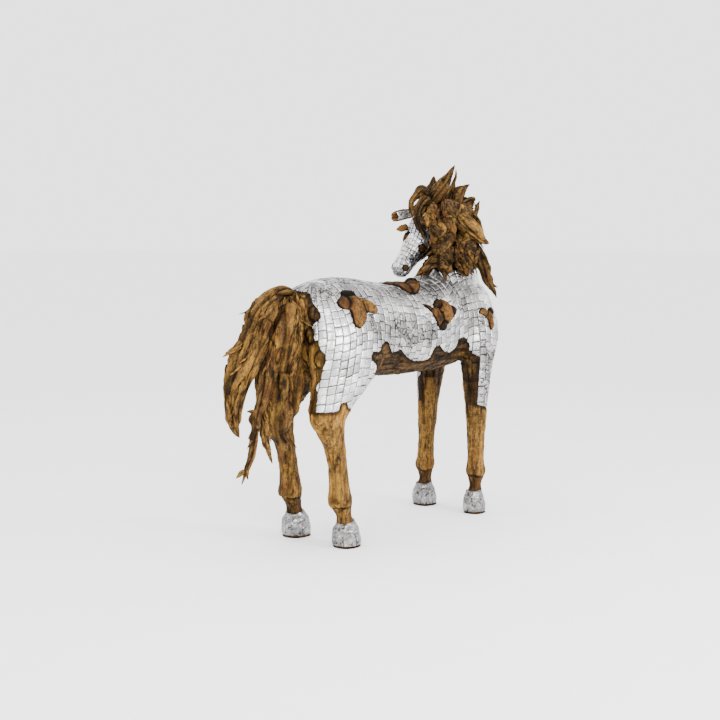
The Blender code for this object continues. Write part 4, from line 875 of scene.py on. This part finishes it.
def carve(points, normals, depth):
    """Moves bare points along their normals; returns them with their grain, tone and tint, into which shade
    and highlight are painted.

    The grain is short across the fibres: they stand upright in the legs and lie level in the trunk.
    """
    x, y, z = percent(points).T
    level = ease(60, 68, z) * ease(-50, -40, x) * (1 - ease(40, 52, x))
    level = np.where((z > 60) & (z < 100), level, 0)
    upright, flat = points * (1, 1, 0.14), points * (0.14, 1, 1)
    grain = np.where((level > 0.5)[:, None], flat + 3.1, upright)

    def grained(kind, size, seed):
        return (1 - level) * kind(upright / size, seed) + level * kind(flat / size, seed)

    near, after, number = cells(grain / 0.052, 5)
    seam = bell((after - near) / 0.10)
    chips = np.minimum(cells(points * (1, 1, 0.6) / 0.026, 6)[0], 0.85)
    lumps, ridge, small = grained(noise, 0.045, 11), grained(fold, 0.02, 12), grained(fold, 0.009, 13)
    legs, belly = z < 52, (z > 56) & (np.abs(x) < 45) & (z < 80)
    slim = np.where(legs, 0.60, 1.0)
    rough = 0.4 + 0.6 * ease(22, 34, z)
    rise = slim * (0.0050 * lumps + 0.0034 * ridge + 0.0016 * small + 0.007 * (number - 0.5))
    rise += slim * rough * 0.0085 * (chips**2 - 0.2) - slim * 0.0075 * seam
    # Painted shade and highlight: the tone is lighter where the carving rises and darker in the seams
    # between its cells and between the chips.
    tone = 0.62 + 0.15 * ridge + 0.12 * lumps + 0.08 * small - np.where(legs, 0.30, 0.60) * seam
    tone += rough * np.where(belly, 0.70, 0.40) * (chips - 0.45)
    for centre, reach, height in LOBES:
        away = np.linalg.norm((np.stack([x, y, z], 1) - centre) * (1, 1, 0.75), axis=1) / reach
        rise += height * PERCENT * np.clip(1 - away**4, 0, 1) ** 0.5
        # Painted shadow: a dark ring round the edge of each lobe.
        tone -= 0.8 * bell((away - 1.05) / 0.16)
    wave = 0.9 * noise(points / 0.03, 14)
    below = ease(16.4, 15.4, z + wave)
    shaded = np.where(belly, 0.70, 1.0) * (1 - 0.4 * ease(98, 104, z))
    rise -= 0.0045 * below
    tone -= 0.75 * bell((z + wave - 15.7) / 0.35)
    tint = 0.62 + 0.45 * (number - 0.5)
    bare = z < BARE_LEG
    tint += np.where(bare & (y < 0) & (x < 0), 0.04, 0.0) - 0.40 * below
    # Painted shade: the tint is lower on the belly, at the top and on the bare legs of the far side; the
    # near fore leg is a little darker too.
    tint -= np.where(belly, 0.45, 0.0) + 0.35 * ease(98, 104, z)
    tint -= np.where(bare, np.where(y > 0, 0.25, np.where(x > 0, 0.22, 0.0)), 0.0)
    share = ease(-0.2, -1.1, depth)
    moved = points + normals * ((rise + 0.001) * share - 0.0012 * (1 - share))[:, None]
    tone = np.where(depth < -0.25, np.clip(tone * shaded, 0.02, 1), 0.30)
    return moved, {"grain": grain, "tone": tone, "tint": np.clip(tint, 0, 1)}


def body_wood():
    depth = plated_depth(body_points)
    points, fields = carve(body_points, body_normals, depth)
    # Painted shade: the wood is darker in a band along the edge of the plating.
    fields["tone"] = fields["tone"] * (1 - 0.7 * bell((depth + 0.5) / 0.7))
    ankle = percent(body_points)[:, 2] > HOOF_TOP - 1.5
    keep = [face for face in body_faces if all(ankle[i] for i in face)]
    piece("body_wood", points, keep, WOOD, "carcass", **fields)


def head_wood():
    points, fields = carve(head_points, head_normals, plated_head_depth(head_points))
    piece("head_wood", points, head_faces, WOOD, "carcass", **fields)


# Plates


def wear(points):
    """How engraved and spotted the plating is: most on the flank and along the back."""
    x, y, z = percent(points).T
    back = ease(88, 95, z) * (z < 104) * (1 - 0.6 * ease(12, 24, x) - 0.4 * ease(36, 46, x))
    total = 0.12 + 0.62 * back
    for strength, centre, reach in WORN_SPOTS:
        away = sum(
            ((value - at) / size) ** 2
            for value, at, size in zip((x, y, z), centre, reach) if at is not None
        )
        total = total + strength * np.exp(-away)
    return total + np.where(z > 101, 0.10, 0.30) * noise(points / 0.10, 91)


def drawn(points):
    """The dark line of the mouth: 1 on the line."""
    first, last = place(MOUTH)
    along = last - first
    share = np.clip((points - first) @ along / along.dot(along), 0, 1)
    return bell(np.linalg.norm(points - first - share[:, None] * along, axis=1) / 0.0026)


def clip_to(depths, grid):
    """Pulls points of a plate that lie beyond the plating's edge back onto it."""
    inside = depths(grid) > 0
    if inside.all():
        return grid
    if inside.mean() < 0.12:
        return None
    middle = grid[inside].mean(axis=0)
    low, high = np.zeros(len(grid)), np.ones(len(grid))
    for _ in range(7):
        share = (low + high) / 2
        good = depths(middle + (grid - middle) * share[:, None]) > 0
        low, high = np.where(good, share, low), np.where(good, high, share)
    share = np.where(inside, 1.0, low)
    return middle + (grid - middle) * share[:, None]


def plates(name, guides, height, tree, depths, seed, node, fine, half=0):
    """Rows of plates between neighbouring guide lines, laid on a surface.

    A guide is how far along it its points are, its points and the bare width at its start.
    half keeps the plates after the lines' start (1), before it (-1) or all (0).
    """
    dice = random.Random(seed)
    count = fine + 1
    index = np.arange(count * count).reshape(count, count)
    rim = np.concatenate([index[0], index[1:, -1], index[-1, -2::-1], index[-2:0:-1, 0]]).tolist()
    skirt = range(count * count, count * count + len(rim))
    quads = [tuple(reversed(quad)) for quad in grid_faces(count, count)]
    sides = list(zip(rim, rim[1:] + rim[:1], [*skirt[1:], skirt[0]], skirt))
    share = np.linspace(0, 1, count)
    across, down = (values.ravel() for values in np.meshgrid(share, share))
    at_rim = np.minimum(np.minimum(across, 1 - across), np.minimum(down, 1 - down)) < 1e-6
    parts = []
    for column, (first, second) in enumerate(zip(guides, guides[1:])):
        v = min(first[0][0], second[0][0]) - dice.random() * height
        v = math.floor(v / height) * height + (column % 2) * height * 0.5
        v += (dice.random() - 0.5) * height * 0.3
        while v < max(first[0][-1], second[0][-1]):
            draw = [dice.random() for _ in range(11)]
            tall = height * (0.86 + 0.3 * draw[0])
            top, v = v, v + tall
            gap = PLATE_GAP / PLATE_WIDTH * (0.6 + draw[1])
            lean = [(value - 0.5) * 0.09 * tall for value in draw[2:6]]
            a = gap + across * (1 - 2 * gap)
            left, right = (
                top + PLATE_GAP + upper + down * (tall - 2 * PLATE_GAP + lower - upper)
                for upper, lower in zip(lean, lean[2:])
            )
            ends = (first, left), (second, right)
            middle = (left + right).mean() / 2
            beyond = any((at > run[-1]).all() or (at < run[0]).all() for (run, _, _), at in ends)
            if beyond or abs(middle) < max(first[2], second[2]) or (half and (middle >= 0) != (half > 0)):
                continue
            start, end = (
                np.stack([np.interp(at, run, way) for way in line.T], 1) for (run, line, _), at in ends
            )
            whole = start * (1 - a[:, None]) + end * a[:, None]
            grid = clip_to(depths, whole)
            if grid is None:
                continue
            placed, normals = map(np.array, zip(*(tree.find_nearest(point)[:2] for point in grid)))
            size = placed.reshape(count, count, 3)
            wide = np.linalg.norm(size[count // 2, -1] - size[count // 2, 0])
            long = np.linalg.norm(size[-1, count // 2] - size[0, count // 2])
            narrowest = NARROW_WHOLE if grid is whole else NARROW_CUT
            if wide < narrowest or long < SHORTEST or max(wide, long) > GREATEST:
                continue
            tip = [(value - 0.5) * 0.0024 for value in draw[6:8]]
            rise = PLATE_FACE * (0.8 + 0.3 * draw[8])
            dome = 0.0009 * (1 - (2 * across - 1) ** 4) * (1 - (2 * down - 1) ** 4)
            dents = 0.0007 * noise(placed / 0.016, 31)
            lift = rise + dome + dents + tip[0] * (2 * across - 1) + tip[1] * (2 * down - 1)
            lift = np.where(at_rim, lift - PLATE_BEVEL, lift)
            soft = unit(normals * 0.6 + unit(normals.mean(axis=0)) * 0.4)
            upper = placed + soft * lift[:, None]
            points = np.concatenate([upper, placed[rim] - normals[rim] * PLATE_SUNK])
            chart = np.stack([(column + a) * height, left * (1 - a) + right * a, 0 * a], 1)
            tone = np.clip(np.where(at_rim, 0.56, 1.0) - 0.9 * drawn(upper), 0, 1)
            worn = wear(points) + 0.25 * (draw[9] - 0.5)
            shine = 0.70 + 0.55 * (draw[10] - 0.5) - 0.60 * float(np.clip(worn.mean(), 0, 1))
            parts.append((points, quads + sides, {
                "grain": np.concatenate([chart, chart[rim]]),
                "tone": np.concatenate([tone, np.full(len(rim), 0.40)]),
                "tint": np.full(len(points), min(max(shine, 0.0), 1.0)),
                "worn": np.clip(worn, 0, 1),
            }))
    flat = ([False] * len(quads) + [True] * len(sides)) * len(parts)
    points, faces, fields = joined(parts)
    piece(name, points, faces, METAL, node, flat, **fields)


def column_line(x, turn, side):
    """One line down the body from the spine, at x on it and turned from square."""
    out = Vector((math.sin(turn), side * math.cos(turn), 0))
    found = []
    for reach in np.arange(0, 17, 0.5):
        start = Vector(place((x, 0, OVER_BACK))) + out * float(reach) * PERCENT
        spot, normal, _, _ = body_tree.ray_cast(start, DOWN)
        if spot is not None and normal.z > STEEPEST:
            found.append(spot)
        elif found:
            break
    seen = False
    for z in np.arange(103.5, 44, -0.6):
        lean = -0.2 * max(0.0, 80 - z) * float(ease(-14, -26, x))
        anchor = Vector(place((x + lean, 0, z)))
        spot, normal, _, _ = body_tree.ray_cast(anchor + out * 0.7, -out, 0.7)
        if spot is None:
            if seen:
                break
            continue
        if normal.z > STEEPEST or normal.dot(out) < 0.02:
            continue
        if found and (Vector(found[-1]) - spot).length > 0.14:
            if seen:
                break
            found = []
        seen = True
        found.append(spot)
    line = np.array(found)
    if len(line) < 3:
        return None
    start = line[0] - place((x, 0, 0))
    start[2] = 0
    offset = float(np.linalg.norm(start))
    return lengths(line) + offset, line, offset


def body_guides():
    dice = random.Random(41)
    columns = [(FIRST_COLUMN, -0.17 * i) for i in range(9, 0, -1)]
    x = FIRST_COLUMN
    while x < LAST_COLUMN:
        columns.append((x, 0.0))
        x += PLATE_WIDTH / PERCENT * (0.88 + 0.24 * dice.random())
    columns += [(LAST_COLUMN, 0.24 * i) for i in range(7)]
    for x, turn in columns:
        right, left = column_line(x, turn, -1), column_line(x, turn, 1)
        if right and left:
            run = np.concatenate([-left[0][::-1], right[0] + 1e-6])
            bare = max(right[2], left[2])
            yield run, np.concatenate([left[1][::-1], right[1]]), bare if bare > 0.02 else 0.0


def body_plating():
    guides = list(body_guides())
    chest = [(*column_line(LAST_COLUMN, 1.44, side)[:2], 0.0) for side in (-1, 1)]
    for name, lines, seed, fine, half in (
        ("plates_right", guides, 42, 7, 1),
        ("plates_left", guides, 42, 5, -1),
        ("plates_chest", chest, 43, 5, 0),
    ):
        plates(name, lines, PLATE_HEIGHT, body_tree, plated_depth, seed, "body_plates", fine, half)


def head_guides():
    """Lines along the head at equal steps round it, closing on the muzzle's end."""
    end = Vector(place(POLL + FORWARD * 32.0 - DORSAL * 0.5))
    for angle in np.linspace(0, 2 * np.pi, HEAD_COLUMNS + 1):
        out = Vector(LEFT * math.cos(angle) + DORSAL * math.sin(angle))
        rays = []
        for s in np.arange(-4.5, 29.0, 0.5):
            centre = Vector(place(POLL + FORWARD * s))
            rays.append((centre - Vector(DORSAL) * (0.012 if s > 8 else 0.0), out))
        for share in (0.85, 0.6, 0.35, 0.1):
            rays.append((end + out * share * 0.026, Vector(-FORWARD)))
        hits = [head_tree.ray_cast(*ray)[0] for ray in rays]
        line = np.array([spot for spot in hits if spot is not None])
        yield lengths(line), line, 0.0


def head_plating():
    plates("plates_head", list(head_guides()), HEAD_PLATE, head_tree, plated_head_depth, 6, "head_plates", 5)


# Patches of wood


def patches():
    rings = 22
    shares = np.linspace(0.02, 1.0, rings) ** 0.85
    for number, (name, view, outline) in enumerate(PATCHES):
        edge = spline(outline, 10, closed=True)
        middle = edge.mean(axis=0)
        if view == "left":
            wave = noise(np.stack([edge[:, 0], edge[:, 1], edge[:, 0] * 0], 1) / 3.8, 50 + number)
            edge = middle + (edge - middle) * (0.98 + 0.34 * wave)[:, None]
        flat = (middle + (edge - middle)[None] * shares[:, None, None]).reshape(-1, 2)
        count = len(edge)
        side = -1 if view == "right" else 1
        spots, ups = [], []
        for u, v in flat:
            start, aim = ((u, v, OVER_BACK), DOWN) if view == "above" else ((u, side * 30, v), (0, -side, 0))
            spot, normal, _, _ = body_tree.ray_cast(Vector(place(start)), aim)
            spots.append(spot)
            ups.append(normal)
        spots, ups = np.array(spots), np.array(ups)
        r = np.repeat(shares, count)
        profile = np.clip(1 - r**5, 0, 1) ** 0.5
        grain = spots * ((0.16, 1, 1) if view == "above" else (1, 1, 0.16)) + number * 1.7
        lobes = noise(spots / 0.06, 60 + number)
        lobed = PATCH_LOBES.get(name)
        if lobed is None:
            turns = 2 * np.pi * (np.arange(3) + 0.37 * number) / 3
            half = (edge.max(axis=0) - edge.min(axis=0)) / 2
            ways = middle + 0.45 * half * np.stack([np.cos(turns), np.sin(turns)], 1)
            lobed = [(*way, *(0.66 * half), 9 + 2 * i, 0.12 - 0.12 * i) for i, way in enumerate(ways)]
        u, v = (flat + 0.5 * np.stack([lobes, noise(spots / 0.05, 80)], 1)).T
        within = np.array([
            1 - ((u - cu) / wide) ** 2 - ((v - cv) / tall) ** 2 for cu, cv, wide, tall, _, _ in lobed
        ])
        owner = within.argmax(axis=0)
        second, first = np.sort(within, axis=0)[-2:]
        seam = bell((first - second) / 0.34) * ease(-0.9, -0.3, second)
        best = np.clip(first, 0, 1) ** 0.5 * np.array([row[4] for row in lobed])[owner]
        tones = np.array([row[-1] for row in lobed])[owner]
        ridge = fold(grain / 0.016, 62)
        folds = fold((spots + 0.01 * lobes[:, None]) / 0.05, 65)
        rise = 0.007 + 0.0013 * best + 0.0030 * folds + 0.0016 * ridge - 0.007 * seam
        points = spots + ups * (np.maximum(rise, 0.0065) * profile + 0.001)[:, None]
        points = np.concatenate([points, spots[-count:] - ups[-count:] * 0.004])
        # Painted shade and highlight: besides each lobe's own tone, the tone is lighter on the folds and
        # ridges and darker in the seams between the lobes and outside them, and the rim and the sunk skirt
        # are near black as a painted shadow outline.
        tone = 0.52 + 0.15 * ridge + 0.22 * folds + tones - 0.75 * seam - 0.2 * (first < 0)
        tone = np.clip(tone, 0.03, 1) * (1 - 0.93 * ease(0.86, 0.96, r))
        faces = grid_faces(rings + 1, count, 0, wrap=True) + [tuple(range(count))]
        area = (edge[:, 0] * np.roll(edge[:, 1], -1) - edge[:, 1] * np.roll(edge[:, 0], -1)).sum()
        if (area < 0) == (view == "left"):
            faces = [tuple(reversed(face)) for face in faces]
        piece(
            f"{name}_carved", points, faces, PATCH_WOOD, name,
            grain=np.concatenate([grain, grain[-count:]]), tone=np.append(tone, np.full(count, 0.02)),
            tint=np.clip(0.45 + 1.2 * np.append(tones, tones[-count:]), 0, 1),
        )


# Roots of the mane and the tail


def gnarl(dice, stations, sides, spacing=0.006, knots=3, wander=0.2, face=SHOWN_TO, rough=1.0,
          marks=()):
    """A gnarled root along its stations: its points, faces, fields and spine."""
    seed = dice.randrange(1000)
    rows = spline(stations, 10)
    run = lengths(place(rows[:, :3]))
    count = max(9, int(run[-1] / spacing))
    at = np.linspace(0, run[-1], count)
    rows = np.stack([np.interp(at, run, rows[:, i]) for i in range(5)], axis=1)
    centres = place(rows[:, :3])
    along, across, facing = spine_ways(centres, face)
    wide, thick = rows[:, 3] * PERCENT, rows[:, 4] * PERCENT
    size = np.sqrt(wide * thick)
    typical = float(np.median(size))
    path = np.stack([at / (3.0 * typical), at * 0, at * 0], axis=1)
    sway = (wander * size * np.clip(np.sin(np.pi * at / run[-1]), 0, 1) ** 0.5)[:, None]
    centres = centres + sway * across * noise(path, seed + 3)[:, None]
    centres = centres + sway * facing * noise(path, seed + 4)[:, None]
    start = np.clip(at / (0.9 * size[0]), 0, 1)
    blunt = np.maximum(np.sqrt(start * (2 - start)), 0.06)[:, None]
    angle, c, s = round_angles(sides)
    ring_wide, ring_thick = wide[:, None] * c * blunt, thick[:, None] * s * blunt
    grain = np.stack(
        [ring_wide, ring_thick, np.repeat(at[:, None] * 0.13, sides, axis=1)], axis=-1
    )
    grain = grain + np.array([dice.random(), dice.random(), dice.random()]) * 7

    def swept(wider, thicker):
        return centres[:, None] + across[:, None] * wider[..., None] + facing[:, None] * thicker[..., None]

    near, after, number = cells(grain / (1.2 * typical), seed + 5)
    split = bell((after - near) / 0.14)
    chips = cells(grain * (1, 1, 4) / (0.95 * typical), seed + 8)[0]
    folds = fold(grain / (0.7 * typical), seed)
    ridge = fold(grain / 0.012, seed + 1)
    lump = noise(swept(ring_wide, ring_thick) / (1.9 * typical), seed + 2)
    swell = 0.10 * folds + 0.20 * lump + 0.30 * (number - 0.5) - 0.24 * split + 0.26 * (chips**2 - 0.2)
    # Painted shade and highlight: the tone rises where the root swells and falls in its splits and hollows.
    tone = 0.62 + 0.14 * folds + 0.10 * lump + 0.12 * ridge - 0.5 * split + 0.3 * (number - 0.5)
    tone = tone + 0.3 * (chips - 0.45)
    places = [
        (dice.uniform(0.15, 0.8), dice.uniform(0, 2 * np.pi), dice.uniform(0.45, 0.8))
        for _ in range(knots)
    ]
    for where, turn, broad in (*places, *marks):
        where, broad = where * run[-1], broad * typical
        gap = (angle - turn + np.pi) % (2 * np.pi) - np.pi
        away = ((at[:, None] - where) / (1.3 * broad)) ** 2 + (gap[None] * size[:, None] / broad) ** 2
        swell = swell + 0.28 * np.exp(-away) - 0.24 * np.exp(-away / 0.10)
        # Painted shade: each knot's pit is dark and its crest a little lighter.
        tone = tone - 0.55 * np.exp(-away / 0.14) + 0.1 * np.exp(-away)
    reach = 1 + rough * swell
    outward = unit(across[:, None] * c[:, None] + facing[:, None] * s[:, None])
    fine = 0.0019 * rough * ridge * np.minimum(1, size / 0.02)[:, None]
    points = (swept(ring_wide * reach, ring_thick * reach) + outward * fine[..., None]).reshape(-1, 3)
    # Painted shade: the root is darker near its start, where it leaves what it grows from.
    tone = tone * (0.6 + 0.4 * ease(0.0, 0.2, at / run[-1]))[:, None]
    fields = {"grain": grain.reshape(-1, 3), "tone": np.clip(tone, 0.02, 1).ravel()}
    return points, tube_faces(count, sides), fields, (centres, along, size)


class Root:
    """One root: a main part and the stubs, branches and strips that belong to it."""

    def __init__(self, name, tint):
        self.name = name
        self.tint = tint
        self.dice = random.Random(name)
        self.parts = []

    def add(self, stations, sides, vary=0.25, **settings):
        points, faces, fields, spine = gnarl(self.dice, stations, sides, **settings)
        fields["tint"] = np.full(len(points), self.tint + vary * (self.dice.random() - 0.5))
        self.parts.append((points, faces, fields))
        return spine

    def stub(self, spine):
        """A short pointed branch that leaves the root at a slant."""
        centres, along, size = spine
        i = int(len(centres) * self.dice.uniform(0.3, 0.85))
        turn = self.dice.uniform(0, 2 * math.pi)
        first = unit(np.cross(along[i], SHOWN_TO))
        side = first * math.cos(turn) + np.cross(first, along[i]) * math.sin(turn)
        reach = size[i] * self.dice.uniform(1.6, 3.0)
        stations = []
        for share in (0.0, 0.35, 0.7, 1.0):
            spot = centres[i] + side * (0.5 * size[i] + 0.7 * reach * share)
            spot = spot + along[i] * 1.2 * reach * share
            radius = (0.42 * size[i] * (1 - share) ** 0.8 + 0.0015) / PERCENT
            stations.append((*percent(spot), radius, 0.85 * radius))
        self.add(stations, 12, knots=0)

    def finish(self, look, node):
        points, faces, fields = joined(self.parts)
        piece(f"{self.name}_root", points, faces, look, node, **fields)


def clad(roots, spines, seed, count, centre, turns, heights, reach, width, stray, vary):
    """Lays short roots over those that are there, each a part of the root under it."""
    dice = random.Random(seed)
    mains = [roots[name].parts[0] for name in spines]
    owners = [name for name, main in zip(spines, mains) for _ in main[1]]
    tree = tree_of(*joined(mains)[:2])
    ranges = (-stray, stray), reach, width, (-0.8, 1.2)
    for _ in range(count):
        turn = math.radians(dice.uniform(*turns))
        out = Vector((math.cos(turn), math.sin(turn), 0))
        eye = Vector(place((*centre, dice.uniform(*heights)))) + out
        spot, normal, index, _ = tree.ray_cast(eye, -out, 1.2)
        bend, long, half, tip = (dice.uniform(*pair) for pair in ranges)
        if spot is None:
            continue
        centres, along, _ = spines[owners[index]]
        flow = Vector(along[np.argmin(np.linalg.norm(centres - np.array(spot), axis=1))])
        flow = (flow - normal * flow.dot(normal)).normalized()
        flow = flow * math.cos(bend) + normal.cross(flow) * math.sin(bend)
        stations = []
        for share, rise, broad in (*STRIP, (1, tip, 0.12)):
            aim = spot + flow * (share - 0.4) * long * PERCENT
            base, up, _, away = tree.find_nearest(aim)
            base, up = (base, up) if away < 0.03 else (aim, normal)
            middle = base + up * rise * 0.6 * half * PERCENT
            stations.append((*percent(np.array(middle)), broad * half, broad * 0.6 * half))
        roots[owners[index]].add(stations, 16, vary, knots=1, face=normal)


def root_pieces():
    roots, manes, tails = {}, {}, {}
    for name, stations in ROOTS.items():
        big = max(row[3] for row in stations)
        mane = name.startswith("mane")
        root = roots[name] = Root(name, (0.0 if mane else 0.38) + 0.24 * random.Random(name).random())
        marks = ()
        if name == "mane_slab":
            root.tint = 0.55
            marks = SLAB_KNOTS
        spine = root.add(stations, 40 if big < 2.6 else 64, knots=2 if big < 2 else 4, marks=marks)
        if not any(word in name for word in ("crown", "core", "arch", "brow", "forelock", "slab", "long")):
            for _ in range(2 if big > 1.8 else 1):
                root.stub(spine)
        if big >= 2.0 and name not in ("mane_slab", "mane_long_right"):
            (manes if mane else tails)[name] = spine
    clad(roots, manes, 7, 150, (37, 2), (-175, 75), (103, 130), (4, 9), (1.0, 2.2), 1.0, 0.6)
    clad(roots, manes, 17, 44, (35, 1), (-170, -30), (106, 129), (5, 9), (1.9, 2.7), 1.3, 0.6)
    clad(roots, tails, 8, 60, (-66, 1), (0, 360), (48, 94), (9, 18), (0.7, 1.3), 0.2, 0.35)
    for name, stations in BRANCHES:
        roots[name].add(stations, 14, knots=0)
    for name, root in roots.items():
        root.finish(WOOD, name)


# Hooves


def hoof_rings(hoof, heights, grow=lambda share: 1.0):
    """Rings of a hoof, narrower upwards, and the way out of it at every point."""
    x, side, half_length, half_width = hoof
    rings = []
    for z in heights:
        share = z / HOOF_TOP
        flare = (1 - 0.17 * share**1.5) * grow(share)
        centre = place((x - 0.9 * share, side * LEG_SPREAD, z))
        sizes = half_length * flare, half_width * flare, half_width * flare
        rings.append(oval_ring(centre, X_WAY, Y_WAY, sizes, HOOF_SIDES, 2.3))
    points = np.array(rings)
    return points, unit((points - points.mean(axis=1, keepdims=True)) * (1, 1, 0))


def shoulder(share):
    """The shoe's slope from full width up to the rim round the pastern."""
    full = 0.98 + 0.08 * float(ease(0.0, 0.35, share))
    return full - 0.22 * float(ease(0.76, 1.06, share))


def hooves():
    angle = round_angles(HOOF_SIDES)[0]
    for number, (name, *hoof) in enumerate(HOOVES):
        heights = np.linspace(0.95 * SOLE, HOOF_TOP + 0.7, 34)
        points, out = hoof_rings(hoof, heights, shoulder)
        turned = (angle * 6 / (2 * np.pi) + 0.23 * number) % 6
        seams = bell(np.abs(turned % 1 - 0.5) / 0.035)
        panel = scramble(np.stack([np.round(turned) % 6, angle * 0, angle * 0], 1), 90 + number)
        level = heights[:, None] + 0.35 * noise(points / 0.04, 84)
        belt = bell((level - HOOF_BELT) / 0.13)
        lower = (level < HOOF_BELT) * 1.0
        cut = np.maximum(seams[None] * lower, 0.7 * belt)
        dents = noise(points / 0.013, 81) * 0.0013 + noise(points / 0.03, 82) * 0.0022
        points = points + out * (dents - 0.0022 * cut + 0.0015 * lower)[..., None]
        points[-3:, :, 2] += 0.004 * noise(points[-3:] / 0.02, 85)
        slant = 0.009 * ease(0.6, 1.0, heights / HOOF_TOP)
        points[..., 2] += slant[:, None] * np.cos(angle)
        pits = ease(0.20, 0.50, noise(points / 0.009, 93))
        tone = np.clip(1 - 0.8 * cut + 0.1 * noise(points / 0.02, 83) - 0.75 * pits, 0.1, 1)
        tint = np.where(lower > 0, 0.24 * panel[None], 0.06) + 0.36 * noise(points / 0.018, 86)
        worn = 0.48 + 0.10 * noise(points / 0.022, 87)
        high = points[..., 2]
        chart = np.stack([angle[None] * hoof[-1] * PERCENT + high * 0, high, tone * 0], -1)
        piece(
            f"hoof_{name}_shod", points, tube_faces(len(points), HOOF_SIDES), METAL, f"hoof_{name}",
            grain=chart, tone=tone, tint=np.clip(tint, 0, 1), worn=np.clip(worn, 0, 1),
        )

        heights = np.linspace(0, 1, 5) * SOLE
        points, out = hoof_rings(hoof, heights)
        points = points + out * (0.0016 * noise(points / 0.025, 88))[..., None]
        points[1:, :, 2] += (heights[1:, None] / SOLE) * 0.004 * noise(points[-1:] / 0.03, 89)
        points = np.concatenate([points, points[-1:] - out[-1:] * 0.008])
        tone = np.clip(0.42 + 0.3 * noise(points / 0.01, 92), 0.05, 1)
        piece(
            f"sole_{name}_edge", points, tube_faces(len(points), HOOF_SIDES), PATCH_WOOD, f"sole_{name}",
            grain=points * (0.2, 1, 1), tone=tone, tint=0.5,
        )


# Ears, brow, eyes and nostrils


def mirrored(stations):
    """The stations on the other side of the head's middle plane."""
    for row in stations:
        spot = np.array(row[:3])
        yield *(spot - LEFT * 2 * (spot - POLL).dot(LEFT)), *row[3:]


def ears():
    for name, stations in (("ear_far", EAR), ("ear_near", mirrored(EAR))):
        rows = spline(stations, 10)
        centres = place(rows[:, :3])
        _, across, facing = spine_ways(centres, SHOWN_TO)
        wide, thick = rows[:, 3:4] * PERCENT, rows[:, 4:5] * PERCENT
        _, c, s = round_angles(EAR_SIDES)
        lift = 0.55 * thick * s - 0.3 * thick * (1 - c**2)
        points = centres[:, None] + across[:, None] * (0.9 * wide * c)[..., None]
        points = points + facing[:, None] * lift[..., None]
        points = points + facing[:, None] * (0.0006 * noise(points / 0.012, 95))[..., None]
        piece(
            f"{name}_leaf", points, tube_faces(len(rows), EAR_SIDES), METAL, name,
            grain=points[..., (1, 2, 0)], tone=1.0, tint=1.0, worn=0.3,
        )
        root = Root(f"{name}_rim", 0.72)
        for way in (1, -1):
            edge = percent(centres[::8] + way * across[::8] * 0.95 * wide[::8])
            root.add([(*row, 0.36, 0.40) for row in edge], 12, knots=0, wander=0.1, rough=0.6)
        lobe = [(*rows[i, :3], *size) for i, *size in EAR_LOBE]
        root.add(lobe, 20, knots=1, wander=0.0, rough=0.6)
        root.finish(PATCH_WOOD, name)


def knobs():
    _, c, s = round_angles(KNOB_SIDES)
    shares, rises = (np.array(values)[:, None] for values in zip(*KNOB_PROFILE))
    for name, centre, normal, radius, height in KNOBS:
        up = unit(normal)
        across = unit(np.cross(up, (0.3, 0.2, 0.9)))
        ring = c[:, None] * across + s[:, None] * np.cross(up, across)
        rings = []
        for share, rise in KNOB_PROFILE:
            middle = place(np.array(centre) + up * rise * (height if rise > 0 else 1.0))
            rings.append(middle + ring * share * radius * PERCENT)
        points = np.array(rings)
        points = points + up * (0.0016 * noise(points / 0.012, 97))[..., None]
        tone = np.where(rises < 0.5, 0.02, 0.52 - 0.25 * (shares < 0.3)) + 0.15 * noise(points / 0.008, 98)
        piece(
            f"{name}_knob", points, tube_faces(len(points), KNOB_SIDES), PATCH_WOOD, name,
            grain=points, tone=np.clip(tone, 0.02, 1), tint=0.22,
        )


def leaves():
    """The leaf of wood over the far eye and the wedge of that eye, dark towards one end."""
    for name, stations, tint, way, light, dark in (
        ("brow_leaf", BROW_LEAF, 0.9, 0, 24.0, 25.2), ("eye_far", EYE_WEDGE, 0.7, 2, 117.0, 117.8),
    ):
        root = Root(f"{name}_carved", tint)
        root.add(stations, 28, spacing=0.002, knots=0, wander=0.0, rough=0.5)
        points, _, fields = root.parts[0]
        fields["tone"] = fields["tone"] * (1 - 0.95 * ease(light, dark, percent(points)[:, way]))
        root.finish(PATCH_WOOD, name)


# The setting


def setting():
    n = Nodes("studio floor")
    shade = n.ramp(n.noise(n.spot, 3.0, 2.0), (0.3, 0.93), (0.7, 0.95))
    corners = [(x * FLOOR_REACH, y * FLOOR_REACH, 0) for x, y in ((-1, -1), (1, -1), (1, 1), (-1, 1))]
    floor = make("studio_floor", corners, [(0, 1, 2, 3)])
    floor.data.materials.append(n.finish(Base_Color=shade, Roughness=0.85))
    floor.location.z = -0.0005

    world = bpy.data.worlds.new("studio")
    bpy.context.scene.world = world
    world.use_nodes = True
    background = world.node_tree.nodes["Background"]
    background.inputs["Color"].default_value = (1.0, 1.0, 1.0, 1.0)
    background.inputs["Strength"].default_value = SKY_STRENGTH

    for name, where, aim, size, power in LAMPS:
        data = bpy.data.lights.new(name, "AREA")
        data.shape = "DISK"
        data.size = size
        data.energy = power
        lamp = link(name, data)
        lamp.location = where
        lamp.rotation_euler = (Vector(aim) - Vector(where)).to_track_quat("-Z", "Y").to_euler()


def camera():
    data = bpy.data.cameras.new("photo")
    data.lens = CAMERA_LENS
    data.sensor_width = 36.0
    data.clip_end = 200.0
    eye = link("photo", data)
    eye.location = Vector(CAMERA_PLACE) + Vector(STEP)
    aim = Vector((*CAMERA_AIM, 0)).normalized() * math.cos(CAMERA_PITCH)
    aim.z = -math.sin(CAMERA_PITCH)
    eye.rotation_euler = aim.to_track_quat("-Z", "Y").to_euler()
    bpy.context.scene.camera = eye


body_wood()
head_wood()
body_plating()
head_plating()
patches()
root_pieces()
hooves()
ears()
knobs()
leaves()
setting()
camera()
